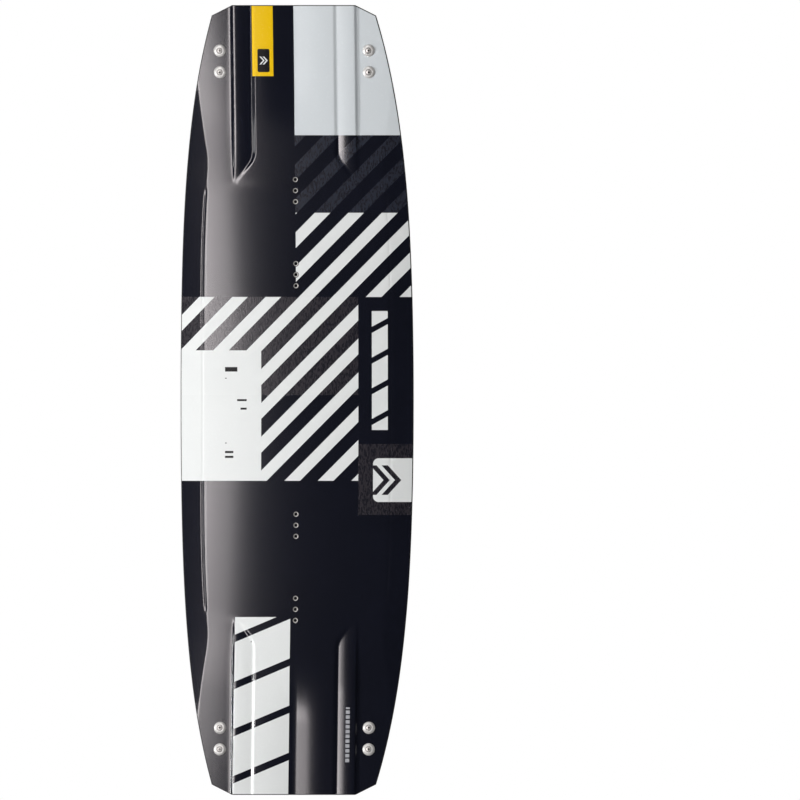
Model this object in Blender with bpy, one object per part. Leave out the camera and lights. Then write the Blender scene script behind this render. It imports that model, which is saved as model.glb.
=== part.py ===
"""Twin-tip kiteboard, taken apart into the pieces it is laid up and bolted from.

Frame: +Z runs along the board, X across it, and the deck faces -Y, so the base and the fins face +Y.
Every surface is written as a height, measured from the base towards the deck, over a place (x, z).
Lengths are in metres and angles in radians.
"""

from math import atan2, cos, pi, sin, sqrt

import bmesh
import bpy
from mathutils import Matrix, Vector

MM = 0.001

# ---------------------------------------------------------------- plan outline
HALF_LENGTH = 695 * MM
HALF_WIDTH = 206.5 * MM
TAPER_SQUARE = 0.0503  # how fast the side pulls in with z squared
TAPER_FOURTH = 0.181  # and with z to the fourth
TIP_EDGE_HALF = 109 * MM  # half of the straight edge across each tip
TIP_CHAMFER = 0.5  # fall of the cut corner beside it, per unit of x

# ---------------------------------------------------------------- long shape and thickness
ROCKER = 44 * MM  # rise of each tip above the middle
CROWN = 6 * MM  # how far the rails hang below the centre line
CROWN_EASE = 0.6  # share of the crown that is gone at the tips
MID_THICKNESS = 10 * MM
TIP_THICKNESS = 6 * MM
SHEET = 0.4 * MM
LAMINATE = 0.6 * MM
GLUE = 0.1 * MM
FIT = 0.3 * MM

THINNING_POWER = 2.0  # how late along the board the thickness falls to that of the tips

# ---------------------------------------------------------------- channels in the base
OUTER_WALL = (104 * MM, 107.5 * MM)
OUTER_WALL_STEP = 3.1 * MM
INNER_WALL = (65 * MM, 69.5 * MM)
INNER_WALL_STEP = 2.5 * MM
INNER_CHANNEL = (320 * MM, 470 * MM)  # the inner walls grow to their full height over this stretch
OUTER_CHANNEL = (360 * MM, 510 * MM)  # and here the groove turns into a step and the deck's steps grow
GROOVE = 3.0 * MM  # depth beside the outer wall amidships
RAIL_STEP_AT = 148 * MM
RAIL_STEP = 1.2 * MM
RAIL_STEP_HALF = 1.2 * MM
RAIL_STEP_END = (340 * MM, 400 * MM)

# ---------------------------------------------------------------- steps, bevels and keel in the deck
TIP_PANEL_RISE = 5.0 * MM  # the centre panel stands out of the deck by this at the tips
INNER_STEP = (69.5 * MM, 76 * MM)
INNER_STEP_DROP = 2.5 * MM
OUTER_STEP = (107.5 * MM, 112 * MM)
OUTER_STEP_DROP = 5.25 * MM
STRIP_WIDTH = OUTER_STEP[0] - INNER_STEP[1]
STRIP_RISE = 2.25 * MM  # between the two steps the deck climbs outwards by this
STEP_POINT = 386 * MM  # the inner step runs out in a point here
STEP_CORNER = 426 * MM  # and from this rounded corner onwards it runs straight to the tip
STEP_CORNER_ROUND = 12 * MM
STEP_BLEND = (377 * MM, 393 * MM)  # the smooth deck gives way to the stepped one over this stretch
FALL_ACROSS = (30 * MM, 140 * MM)
SHOULDER_AT = 167 * MM
SHOULDER_THIN = 1.4 * MM
BEVEL_WIDTH = (41.5 * MM, 38.3 * MM)
BEVEL_NARROWS = (0, 330 * MM)
BEVEL_TURNS = 421 * MM  # here the bevel's line turns outwards
BEVEL_TURN_ROUND = 22 * MM
BEVEL_TURN_SLOPE = 0.27
BEVEL_LIP = 0.8 * MM
BEVEL_LIP_SPAN = (-1.6 * MM, 1.6 * MM)
BEVEL_LEDGE = 0.25 * MM
BEVEL_LEDGE_SPAN = (1.4 * MM, 4.4 * MM)
BEVEL_LIP_END = (357 * MM, 377 * MM)
BEVEL_FALL = 0.10  # slope of the bevel
BEVEL_ROUND = 1.2 * MM
KEEL_SLOPE = 0.075  # of the V along the tip's centre line
KEEL_FLANK = 22 * MM
KEEL_HALF = 60 * MM
KEEL_RAMP = (455 * MM, 570 * MM)

# ---------------------------------------------------------------- edges of the layers
SHEET_INSET = 1.5 * MM
RAIL_NOSE = 1.3 * MM
RAIL_TONGUE = 15.0 * MM
CORE_INSET = 15.3 * MM
NOSE_RECESS = 0.1 * MM
NOSE_ROUND = 0.6 * MM
NOSE_SLOPE = 0.15 * MM

# ---------------------------------------------------------------- inserts for the bindings
INSERT_PITCH = 19.5 * MM
INSERT_GROUPS = (-368.5 * MM, -220.5 * MM, 220.5 * MM, 368.5 * MM)
INSERT_STATIONS = [group + step * INSERT_PITCH for group in INSERT_GROUPS for step in (-1, 0, 1)]
INSERT_RADIUS = 5 * MM
INSERT_BORE = 2.8 * MM
INSERT_LENGTH = 6.2 * MM
INSERT_BORE_DEPTH = 5.2 * MM
FLANGE_RADIUS = 8.5 * MM
FLANGE_TOP = 1.6 * MM
FLANGE_BOTTOM = 2.8 * MM

# ---------------------------------------------------------------- fins and their fixings
FIN_X = 132 * MM
FIN_FROM = 520 * MM
FIN_TO = 674 * MM
FIN_HEIGHT = 45 * MM
FIN_FORWARD_LEAN = 0.10  # the leading edge moves back by this share of the length, evenly
FIN_SWEEP = 0.42  # and by this share more in a curve
FIN_BACK_LEAN = 7 * MM
FIN_ROOT_THICKNESS = 9 * MM
FIN_EDGE_THICKNESS = 2.4 * MM
FIN_LEAST_THICKNESS = 0.8 * MM
FIN_SCREWS = (577 * MM, 615 * MM)
FIN_MIDDLE = sum(FIN_SCREWS) / 2
FIN_INSERT_RADIUS = 3.1 * MM
FIN_INSERT_BORE = 2.7 * MM
FIN_INSERT_LENGTH = 10 * MM
FIN_INSERT_DEPTH = 0.4 * MM  # how far its mouth lies inside the fin's root
FIN_POCKET_ROOM = 0.2 * MM
SCREW_IN_FIN = 8 * MM
SCREW_POINT = 0.6 * MM
SHANK_RADIUS = 2.4 * MM
HEAD_RADIUS = 5 * MM
HEAD_DEPTH = 2.6 * MM
HEAD_EDGE_DROP = 0.25 * MM  # the head's edge lies this far under the washer's top
HEAD_DOME = 0.6 * MM
HEAD_DOME_RADIUS = 3.2 * MM
WASHER_RADIUS = 10.8 * MM
WASHER_HEIGHT = 3.2 * MM
WASHER_BORE = 3.1 * MM
WASHER_SEAT = 0.3 * MM  # gap left under the washer, because the deck curves under it
WASHER_FLANK = [(10.6 * MM, 0.7 * MM), (8.6 * MM, 2.2 * MM), (6.4 * MM, WASHER_HEIGHT)]
CUTTER_REACH = 3 * MM  # how far the drills stand out of the surfaces they pass

# ---------------------------------------------------------------- how finely the surfaces are divided
CENTRE_STAVE_HALF = 36.5 * MM
FIXED_COLUMNS = [0, CENTRE_STAVE_HALF, INNER_WALL[0], *INNER_STEP, OUTER_WALL[0], *OUTER_STEP]
RAIL_FRACTIONS = [0.6, 1.0]
FIXED_ROWS = [0, 190 * MM, 320 * MM, STEP_POINT, 430 * MM, OUTER_CHANNEL[1], 600 * MM]
LAST_FIXED_COLUMN = FIXED_COLUMNS[-1]
LAST_FIXED_ROW = FIXED_ROWS[-1]
FIN_LEVELS = [0, 0.35, 0.7, 0.9, 1.0]
FIN_SHARES = [0, 0.05, 0.15, 0.35, 0.6, 0.8, 0.94, 1.0]
STAVE_JOINTS = [1, 6]  # columns at which the core's staves are glued, counted from the centre line
ROUND_SEGMENTS = 10
SHARP_ANGLE = 0.6


# ================================================================ the shape as formulas
def ease(low, high, value):
    """0 below low, 1 above high, and a smooth climb between them."""
    share = min(max((value - low) / (high - low), 0.0), 1.0)
    return share * share * (3.0 - 2.0 * share)


def side_slope(z):
    return -2.0 * TAPER_SQUARE * z - 4.0 * TAPER_FOURTH * z**3


def side_x(z, inset=0.0):
    """Half width of the outline at z, moved inwards by inset."""
    z = abs(z)
    width = HALF_WIDTH - TAPER_SQUARE * z**2 - TAPER_FOURTH * z**4
    return width - inset * sqrt(1.0 + side_slope(z) ** 2)


def end_z(x, inset=0.0):
    """Where the board ends at x, on the tip's edge or on the cut corner beside it, moved inwards by inset."""
    cut = HALF_LENGTH - (abs(x) - TIP_EDGE_HALF) * TIP_CHAMFER - inset * sqrt(1.0 + TIP_CHAMFER**2)
    return min(HALF_LENGTH - inset, cut)


def rocker(z):
    return ROCKER * (z / HALF_LENGTH) ** 2


def rocker_tilt(z):
    return atan2(2.0 * ROCKER * z, HALF_LENGTH**2)


def crown(x, z):
    return -CROWN * (x / HALF_WIDTH) ** 2 * (1.0 - CROWN_EASE * (z / HALF_LENGTH) ** 2)


def ramp(value, radius):
    """0 below zero and the value itself above, with a round start."""
    if abs(value) < radius:
        return (value + radius) ** 2 / (4.0 * radius)
    return max(value, 0.0)


def inner_channel(z):
    return ease(*INNER_CHANNEL, abs(z))


def outer_channel(z):
    return ease(*OUTER_CHANNEL, abs(z))


def keel(x, z):
    """A V along the tip's centre line: straight flanks that flatten out sideways."""
    across = min(abs(x), KEEL_HALF)
    curved = KEEL_HALF - KEEL_FLANK
    if across > KEEL_FLANK:
        depth = (KEEL_HALF - across) ** 2 / (2.0 * curved)
    else:
        depth = (KEEL_FLANK - across) + curved / 2.0
    return KEEL_SLOPE * depth * ease(*KEEL_RAMP, abs(z))


def base_height(x, z):
    """The base: a groove beside each outer wall amidships, which turns into two steps at the tips."""
    across = abs(x)
    outer_side = ease(*OUTER_WALL, across)
    groove_floor = min(max((across - INNER_STEP[0]) / (OUTER_WALL[0] - INNER_STEP[0]), 0.0), 1.0)
    groove = GROOVE * groove_floor * (1.0 - outer_side) * (1.0 - outer_channel(z))
    outer = OUTER_WALL_STEP * (1.0 - outer_side) * outer_channel(z)
    inner = INNER_WALL_STEP * (1.0 - ease(*INNER_WALL, across)) * inner_channel(z)
    at_rail = ease(RAIL_STEP_AT - RAIL_STEP_HALF, RAIL_STEP_AT + RAIL_STEP_HALF, across)
    rail_step = RAIL_STEP * at_rail * (1.0 - ease(*RAIL_STEP_END, abs(z)))
    return rocker(z) + crown(x, z) + groove + outer + inner - rail_step - keel(x, z)


def centre_thickness(z):
    """Thickness that the outline of the section starts from, before its channels and steps."""
    return MID_THICKNESS + (TIP_THICKNESS - MID_THICKNESS) * (abs(z) / HALF_LENGTH) ** THINNING_POWER


def bevel_start(z):
    """The line where the rail's bevel begins, which runs out at the side before the tip."""
    along = abs(z)
    width = BEVEL_WIDTH[0] + (BEVEL_WIDTH[1] - BEVEL_WIDTH[0]) * ease(*BEVEL_NARROWS, along)
    return side_x(z) - width + BEVEL_TURN_SLOPE * ramp(along - BEVEL_TURNS, BEVEL_TURN_ROUND)


def bevel_drop(x, z):
    """The bevel's fall, with a lip and a shallow ledge at its foot along the middle of the board."""
    past = abs(x) - bevel_start(z)
    lipped = 1.0 - ease(*BEVEL_LIP_END, abs(z))
    lip = BEVEL_LIP * ease(*BEVEL_LIP_SPAN, past) - BEVEL_LEDGE * ease(*BEVEL_LEDGE_SPAN, past)
    return lip * lipped + BEVEL_FALL * ramp(past - BEVEL_LEDGE_SPAN[1] * lipped, BEVEL_ROUND)


def step_offset(z):
    """How far out the inner step stands at z: 0 beyond its corner, the whole strip's width at its point."""
    short_of_corner = ramp(STEP_CORNER - abs(z), STEP_CORNER_ROUND)
    return STRIP_WIDTH * min(short_of_corner / (STEP_CORNER - STEP_POINT), 1.0)


def stepped_drop(x, z):
    """How far the stepped deck lies under the centre panel: a wall, the rising strip and a second wall."""
    across, offset = abs(x), step_offset(z)
    strip = min(max((across - INNER_STEP[1]) / STRIP_WIDTH, 0.0), 1.0)
    strip_drop = INNER_STEP_DROP - STRIP_RISE * (1.0 - (1.0 - strip) ** 2)
    inner = strip_drop * ease(INNER_STEP[0] + offset, INNER_STEP[1] + offset, across)
    outer_drop = (OUTER_STEP_DROP + strip_at_wall()) * outer_channel(z) - strip_at_wall()
    return inner + outer_drop * ease(*OUTER_STEP, across)


def strip_at_wall():
    """How far the strip lies under the centre panel where it meets the outer step."""
    return INNER_STEP_DROP - STRIP_RISE


def deck_height(x, z):
    """The deck: a smooth crown amidships, two steps beside the centre panel at the tips, bevelled rails."""
    across = abs(x)
    blend = ease(*STEP_BLEND, abs(z))
    shoulder_drop = (OUTER_STEP_DROP + strip_at_wall()) * outer_channel(z)
    smooth_drop = shoulder_drop * ease(*FALL_ACROSS, across)
    thinning = SHOULDER_THIN * (across / SHOULDER_AT) ** 2
    drop = thinning + (1.0 - blend) * smooth_drop + blend * stepped_drop(x, z) + bevel_drop(x, z)
    panel = TIP_PANEL_RISE * outer_channel(z)
    return rocker(z) + crown(x, z) + centre_thickness(z) + panel - drop - keel(x, z)


def fin_low_point():
    """The place along the board, before tilting, where the fin's edge first reaches its full height."""
    return FIN_FROM + (FIN_FORWARD_LEAN + FIN_SWEEP) * (FIN_TO - FIN_FROM)


def deepest_height():
    """Height of the fins' lowest corner, which with the tips' deck edge sets the middle of the box."""
    root = base_height(FIN_X, FIN_MIDDLE)
    return root - FIN_HEIGHT * cos(FIN_TILT) - (FIN_MIDDLE - fin_low_point()) * sin(FIN_TILT)


FIN_TILT = rocker_tilt(FIN_MIDDLE)
CENTRE_HEIGHT = 0.5 * (deck_height(INNER_WALL[0], HALF_LENGTH - SHEET_INSET) + deepest_height())


def place(x, z, height):
    """World position of a height over (x, z)."""
    return Vector((x, CENTRE_HEIGHT - height, z))


# ================================================================ the grid that all the layers share
def fixed_column(x):
    return lambda z: x


def rail_column(fraction):
    return lambda z: LAST_FIXED_COLUMN + fraction * (side_x(z, CORE_INSET) - LAST_FIXED_COLUMN)


def inset_column(inset):
    return lambda z: side_x(z, inset)


def fixed_row(z):
    return lambda x: z


def inset_row(inset):
    return lambda x: end_z(x, inset)


def crossing(column, row):
    """The place (x, z) where a column and a row of one quarter of the board meet."""
    x, z = column(0.0), row(0.0)
    for _ in range(30):
        x, z = column(z), row(x)
    return x, z


CORE_COLUMNS = [fixed_column(x) for x in FIXED_COLUMNS] + [rail_column(part) for part in RAIL_FRACTIONS]
CORE_ROWS = [fixed_row(z) for z in FIXED_ROWS] + [inset_row(CORE_INSET)]
SHEET_COLUMNS = CORE_COLUMNS + [inset_column(SHEET_INSET)]
SHEET_ROWS = CORE_ROWS + [inset_row(SHEET_INSET)]


def plan_grid(columns, rows):
    """Plan places over the whole board: one list for each row, from one tip to the other."""
    quarter = [[crossing(column, row) for column in columns] for row in rows]
    upper = [[(-x, z) for x, z in reversed(line[1:])] + line for line in quarter]
    return [[(x, -z) for x, z in line] for line in reversed(upper[1:])] + upper


# ================================================================ making Blender objects
def material(name, colour, roughness, metallic=0.0):
    made = bpy.data.materials.new(name)
    made.use_nodes = True
    shader = made.node_tree.nodes["Principled BSDF"]
    shader.inputs["Base Color"].default_value = (*colour, 1.0)
    shader.inputs["Roughness"].default_value = roughness
    shader.inputs["Metallic"].default_value = metallic
    made.diffuse_color = (*colour, 1.0)
    return made


def add_object(name, points, faces, finish):
    mesh = bpy.data.meshes.new(name)
    mesh.from_pydata([tuple(point) for point in points], [], faces)
    mesh.materials.append(finish)
    mesh.validate()
    added = bpy.data.objects.new(name, mesh)
    bpy.context.scene.collection.objects.link(added)
    shell = bmesh.new()
    shell.from_mesh(mesh)
    bmesh.ops.recalc_face_normals(shell, faces=shell.faces)
    shell.to_mesh(mesh)
    shell.free()
    return added


def layer(name, plan, upper, lower, finish):
    """A closed slab between two height functions, over a grid of plan places."""
    rows, columns = len(plan), len(plan[0])
    flat = [place_xz for line in plan for place_xz in line]
    points = [place(x, z, upper(x, z)) for x, z in flat] + [place(x, z, lower(x, z)) for x, z in flat]
    under = len(flat)
    faces = []
    for row in range(rows - 1):
        for column in range(columns - 1):
            a = row * columns + column
            b, c, d = a + 1, a + columns + 1, a + columns
            outwards = flat[a][0] * flat[a][1] + flat[c][0] * flat[c][1] > 0
            for triangle in ((a, b, c), (a, c, d)) if outwards else ((a, b, d), (b, c, d)):
                faces.append(triangle)
                faces.append(tuple(under + corner for corner in reversed(triangle)))
    rim = [column for column in range(columns)]
    rim += [row * columns + columns - 1 for row in range(1, rows)]
    rim += [(rows - 1) * columns + column for column in range(columns - 2, -1, -1)]
    rim += [row * columns for row in range(rows - 2, 0, -1)]
    for here, there in zip(rim, rim[1:] + rim[:1]):
        faces.append((here, there, under + there, under + here))
    return add_object(name, points, faces, finish)


def turned(name, profile, segments, finish, frame):
    """A solid of revolution. Its profile of (radius, height) pairs ends on the axis or is a ring."""
    closed_ring = profile[0][0] > 0
    points, rings = [], []
    for radius, height in profile:
        if radius == 0:
            rings.append([len(points)])
            points.append(frame @ Vector((0, 0, height)))
            continue
        rings.append(list(range(len(points), len(points) + segments)))
        for step in range(segments):
            angle = 2 * pi * step / segments
            points.append(frame @ Vector((radius * cos(angle), radius * sin(angle), height)))
    pairs = list(zip(rings, rings[1:])) + ([(rings[-1], rings[0])] if closed_ring else [])
    faces = []
    for first, second in pairs:
        for step in range(segments):
            after = (step + 1) % segments
            near = [first[step % len(first)], first[after % len(first)]]
            far = [second[after % len(second)], second[step % len(second)]]
            faces.append(tuple(dict.fromkeys(near + far)))
    made = add_object(name, points, [face for face in faces if len(face) > 2], finish)
    made.data.shade_smooth()
    made.data.set_sharp_from_angle(angle=SHARP_ANGLE)
    return made


def deck_frame(x, z, reach):
    """A frame standing on the deck at (x, z): its Z leaves the deck, square to it as measured over reach."""
    rise_across = (deck_height(x + reach, z) - deck_height(x - reach, z)) / (2 * reach)
    rise_along = (deck_height(x, z + reach) - deck_height(x, z - reach)) / (2 * reach)
    outwards = Vector((-rise_across, -1.0, -rise_along)).normalized()
    turn = Vector((0, 0, 1)).rotation_difference(outwards).to_matrix().to_4x4()
    return Matrix.Translation(place(x, z, deck_height(x, z))) @ turn


def cutter_body(name, parts):
    """One hidden tool made of separate rods: (frame, radius, low, high) for each."""
    points, faces = [], []
    segments = ROUND_SEGMENTS
    for frame, radius, low, high in parts:
        start = len(points)
        for height in (low, high):
            for step in range(segments):
                angle = 2 * pi * step / segments
                points.append(frame @ Vector((radius * cos(angle), radius * sin(angle), height)))
        for step in range(segments):
            after = (step + 1) % segments
            faces.append((start + step, start + after, start + segments + after, start + segments + step))
        faces.append(tuple(start + step for step in reversed(range(segments))))
        faces.append(tuple(start + segments + step for step in range(segments)))
    tool = add_object(name, points, faces, CUTTER_FINISH)
    tool.hide_render = True
    tool.display_type = "WIRE"
    return tool


def cut(target, tool):
    hole = target.modifiers.new(tool.name, "BOOLEAN")
    hole.operation = "DIFFERENCE"
    hole.solver = "EXACT"
    hole.object = tool


# ================================================================ the pieces
def deck_minus(depth):
    return lambda x, z: deck_height(x, z) - depth


def base_plus(depth):
    return lambda x, z: base_height(x, z) + depth


UNDER_LAMINATE = SHEET + GLUE + LAMINATE + GLUE


def make_layers():
    """The two printed sheets and the two laminates between them and the core."""
    plan = plan_grid(SHEET_COLUMNS, SHEET_ROWS)
    laid_up = [
        ("deck_sheet", deck_minus(0), deck_minus(SHEET), DECK_FINISH),
        ("top_laminate", deck_minus(SHEET + GLUE), deck_minus(SHEET + GLUE + LAMINATE), CARBON_FINISH),
        ("bottom_laminate", base_plus(SHEET + GLUE + LAMINATE), base_plus(SHEET + GLUE), CARBON_FINISH),
        ("base_sheet", base_plus(SHEET), base_plus(0), BASE_FINISH),
    ]
    return [layer(name, plan, upper, lower, finish) for name, upper, lower, finish in laid_up]


def make_staves():
    """The core is glued from five staves. The outer two are cut to the outline."""
    plan = plan_grid(CORE_COLUMNS, CORE_ROWS)
    centre = len(CORE_COLUMNS) - 1
    inner, outer = STAVE_JOINTS
    joints = [0, centre - outer, centre - inner, centre + inner, centre + outer, len(plan[0]) - 1]
    names = ["left_outer", "left", "centre", "right", "right_outer"]
    staves = []
    for number, name in enumerate(names):
        first, last = joints[number], joints[number + 1]
        rows = [list(line[first : last + 1]) for line in plan]
        for line in rows:
            if number > 0:
                line[0] = (line[0][0] + GLUE / 2, line[0][1])
            if number < len(names) - 1:
                line[-1] = (line[-1][0] - GLUE / 2, line[-1][1])
        upper, lower = deck_minus(UNDER_LAMINATE), base_plus(UNDER_LAMINATE)
        staves.append(layer(f"core_stave_{name}", rows, upper, lower, WOOD_FINISH))
    return staves


def rail_section(column_of, row_of):
    """The rail's cross section at one station: a tongue between the laminates and a nose outside them."""
    corners = [
        (RAIL_TONGUE, deck_height, -UNDER_LAMINATE),
        (RAIL_NOSE, deck_height, -UNDER_LAMINATE),
        (RAIL_NOSE, deck_height, -NOSE_RECESS),
        (NOSE_ROUND, deck_height, -NOSE_RECESS - NOSE_SLOPE),
        (0.0, deck_height, -NOSE_RECESS - NOSE_ROUND),
        (0.0, base_height, NOSE_RECESS + NOSE_ROUND),
        (NOSE_ROUND, base_height, NOSE_RECESS + NOSE_SLOPE),
        (RAIL_NOSE, base_height, NOSE_RECESS),
        (RAIL_NOSE, base_height, UNDER_LAMINATE),
        (RAIL_TONGUE, base_height, UNDER_LAMINATE),
    ]
    inner = crossing(column_of(CORE_INSET), row_of(CORE_INSET))
    outer = crossing(column_of(SHEET_INSET), row_of(SHEET_INSET))
    section = []
    for inset, height, step in corners:
        at_inner = place(*inner, height(*inner) + step)
        at_outer = place(*outer, height(*outer) + step)
        section.append(at_inner.lerp(at_outer, (CORE_INSET - inset) / (CORE_INSET - SHEET_INSET)))
    return section


def swept(name, sections, finish):
    """A closed bar through the sections. Its faces are split the way the layers split theirs."""
    around = len(sections[0])
    middle = len(sections) // 2
    points = [point for section in sections for point in section]
    faces = []
    for station in range(len(sections) - 1):
        far, near = (station, station + 1) if station < middle else (station + 1, station)
        for corner in range(around):
            after = (corner + 1) % around
            inner, outer = (corner, after) if corner < around // 2 else (after, corner)
            diagonal = (near * around + inner, far * around + outer)
            faces.append((*diagonal, near * around + outer))
            faces.append((*diagonal, far * around + inner))
    faces.append(tuple(reversed(range(around))))
    faces.append(tuple(range(len(points) - around, len(points))))
    return add_object(name, points, faces, finish)


def mirrored(section, across=False, along=False):
    """A section carried over to the other side or the other tip."""
    return [Vector((-x if across else x, y, -z if along else z)) for x, y, z in section]


def make_rails():
    """Two side rails, and a tip rail across each end that meets them at the cut corners."""
    mitre = [rail_section(inset_column, inset_row)]
    side = [rail_section(inset_column, lambda inset, row=row: row) for row in CORE_ROWS] + mitre
    tip = [rail_section(lambda inset, column=column: column, inset_row) for column in CORE_COLUMNS] + mitre
    side[-1] = shortened(side[-2], side[-1])
    tip[-1] = shortened(tip[-2], tip[-1])
    side = [mirrored(section, along=True) for section in reversed(side[1:])] + side
    tip = [mirrored(section, across=True) for section in reversed(tip[1:])] + tip
    return [
        swept("side_rail_right", side, RAIL_FINISH),
        swept("side_rail_left", [mirrored(section, across=True) for section in side], RAIL_FINISH),
        swept("tip_rail_upper", tip, RAIL_FINISH),
        swept("tip_rail_lower", [mirrored(section, along=True) for section in tip], RAIL_FINISH),
    ]


def shortened(before, end):
    """The end section pulled back along the rail, so that the mitre keeps its fit."""
    return [there.lerp(here, min(0.5, FIT / (here - there).length)) for here, there in zip(before, end)]


def insert_frame(z):
    return deck_frame(0.0, z, INSERT_RADIUS)


def make_inserts():
    """Twelve inserts that the bindings are screwed to. A flange in the core keeps each from pulling out."""
    profile = [
        (0, -INSERT_BORE_DEPTH),
        (INSERT_BORE, -INSERT_BORE_DEPTH),
        (INSERT_BORE, 0),
        (INSERT_RADIUS, 0),
        (INSERT_RADIUS, -FLANGE_TOP),
        (FLANGE_RADIUS, -FLANGE_TOP),
        (FLANGE_RADIUS, -FLANGE_BOTTOM),
        (INSERT_RADIUS, -FLANGE_BOTTOM),
        (INSERT_RADIUS, -INSERT_LENGTH),
        (0, -INSERT_LENGTH),
    ]
    return [
        turned(f"binding_insert_{number}", profile, ROUND_SEGMENTS, STEEL_FINISH, insert_frame(z))
        for number, z in enumerate(INSERT_STATIONS, start=1)
    ]


def fin_frame(side, end):
    """A frame on the base under one fin: its Z leaves the base and its X runs towards the nearer tip."""
    along = Vector((0, -sin(FIN_TILT), end * cos(FIN_TILT)))
    outwards = Vector((0, cos(FIN_TILT), end * sin(FIN_TILT)))
    sideways = outwards.cross(along)
    origin = place(side * FIN_X, end * FIN_MIDDLE, base_height(FIN_X, FIN_MIDDLE))
    turn = Matrix((along, sideways, outwards)).transposed().to_4x4()
    return Matrix.Translation(origin) @ turn


def fin_outline(level):
    """Where the fin's blade starts and ends along the board at a level from 0, its root, to 1, its edge."""
    front = FIN_FROM - FIN_MIDDLE + (FIN_TO - FIN_FROM) * (FIN_FORWARD_LEAN * level + FIN_SWEEP * level**2.2)
    back = FIN_TO - FIN_MIDDLE - FIN_BACK_LEAN * level**1.5
    return front, back


def fin_half_thickness(level, share):
    """Half thickness of the foil at a share of the chord, from its leading edge to its trailing edge."""
    full = FIN_EDGE_THICKNESS + (FIN_ROOT_THICKNESS - FIN_EDGE_THICKNESS) * (1.0 - level) ** 0.9
    foil = min(1.0, 2.9 * sqrt(share) * (1.0 - share) ** 0.42)
    return 0.5 * max(full * foil, FIN_LEAST_THICKNESS)


def fin_ring(frame, level, shares):
    """The blade's outline at one level: along one side and back along the other, clear of the base."""
    front, back = fin_outline(level)
    inverse = frame.inverted()
    lines = {1: [], -1: []}
    for side, line in lines.items():
        for share in shares:
            along = front + (back - front) * share
            world = frame @ Vector((along, 0, 0))
            root = (inverse @ place(world.x, world.z, base_height(world.x, world.z))).z + FIT
            out = root + (FIN_HEIGHT - root) * level
            line.append(frame @ Vector((along, side * fin_half_thickness(level, share), out)))
    return lines[1] + lines[-1][::-1]


def make_fin(name, frame):
    rings = [fin_ring(frame, level, FIN_SHARES) for level in FIN_LEVELS]
    around = len(rings[0])
    points = [point for ring in rings for point in ring]
    faces = []
    for low in range(0, len(points) - around, around):
        for step in range(around):
            after = (step + 1) % around
            faces.append((low + step, low + after, low + around + after, low + around + step))
    for start in (0, len(points) - around):
        last = start + around - 1
        for step in range(around // 2 - 1):
            faces.append((start + step, start + step + 1, last - 1 - step, last - step))
    return add_object(name, points, faces, FIN_FINISH)


def make_fins():
    """Four fins, each with two brass inserts, and a screw and a cup washer on the deck over each of those."""
    made = []
    for end_name, end in (("upper", 1), ("lower", -1)):
        for side_name, side in (("left", -1), ("right", 1)):
            place_name = f"{end_name}_{side_name}"
            frame = fin_frame(side, end)
            fin = make_fin(f"fin_{place_name}", frame)
            made.append(fin)
            pockets = []
            for number, z in enumerate(FIN_SCREWS, start=1):
                made += make_fixing(f"{place_name}_{number}", side * FIN_X, end * z, pockets)
            cut(fin, cutter_body(f"cut_fin_{place_name}", pockets))
    return made


def make_fixing(label, x, z, pockets):
    """One screw through the board, with its washer on the deck and its insert in the fin."""
    top = deck_frame(x, z, WASHER_RADIUS)
    thickness = (deck_height(x, z) - base_height(x, z)) * cos(rocker_tilt(z))
    mouth = -(thickness + FIT + FIN_INSERT_DEPTH)
    bottom = mouth - FIN_INSERT_LENGTH
    washer = [
        (WASHER_BORE, WASHER_SEAT),
        (WASHER_RADIUS, WASHER_SEAT),
        *WASHER_FLANK,
        (HEAD_RADIUS + 2 * FIT, WASHER_HEIGHT),
        (WASHER_BORE, WASHER_HEIGHT - HEAD_DEPTH + FIT),
    ]
    head_edge = WASHER_HEIGHT - HEAD_EDGE_DROP
    dome_share = (HEAD_DOME_RADIUS / HEAD_RADIUS) ** 2
    screw = [
        (0, head_edge + HEAD_DOME),
        (HEAD_DOME_RADIUS, head_edge + HEAD_DOME * (1.0 - dome_share)),
        (HEAD_RADIUS, head_edge),
        (SHANK_RADIUS, head_edge - HEAD_DEPTH),
        (SHANK_RADIUS, mouth - SCREW_IN_FIN),
        (0, mouth - SCREW_IN_FIN - SCREW_POINT),
    ]
    insert = [
        (FIN_INSERT_BORE, mouth),
        (FIN_INSERT_RADIUS, mouth),
        (FIN_INSERT_RADIUS, bottom),
        (FIN_INSERT_BORE, bottom),
    ]
    pockets.append((top, FIN_INSERT_RADIUS + FIN_POCKET_ROOM, bottom - FIT, CUTTER_REACH))
    BOARD_HOLES.append((top, SHANK_RADIUS + FIT, -thickness - CUTTER_REACH, CUTTER_REACH))
    return [
        turned(f"cup_washer_{label}", washer, ROUND_SEGMENTS, STEEL_FINISH, top),
        turned(f"fin_screw_{label}", screw, ROUND_SEGMENTS, STEEL_FINISH, top),
        turned(f"fin_insert_{label}", insert, ROUND_SEGMENTS, BRASS_FINISH, top),
    ]


def insert_drills(name, radius, depth):
    """One hidden tool that reaches down into the board at every binding insert."""
    rods = [(insert_frame(z), radius + FIT, -depth - FIT, CUTTER_REACH) for z in INSERT_STATIONS]
    return cutter_body(name, rods)


def bore_the_board(layers, staves):
    """Drills the layers and the core for the fin screws and for the binding inserts."""
    fin_holes = cutter_body("cut_fin_screw_holes", BOARD_HOLES)
    barrels = insert_drills("cut_insert_barrels", INSERT_RADIUS, INSERT_LENGTH)
    flanges = insert_drills("cut_insert_flanges", FLANGE_RADIUS, FLANGE_BOTTOM)
    for piece in layers:
        cut(piece, fin_holes)
    for piece in layers[:2]:
        cut(piece, barrels)
    for piece in (staves[0], staves[-1]):
        cut(piece, fin_holes)
    cut(staves[2], barrels)
    cut(staves[2], flanges)


for old in list(bpy.data.objects):
    bpy.data.objects.remove(old, do_unlink=True)

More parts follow.
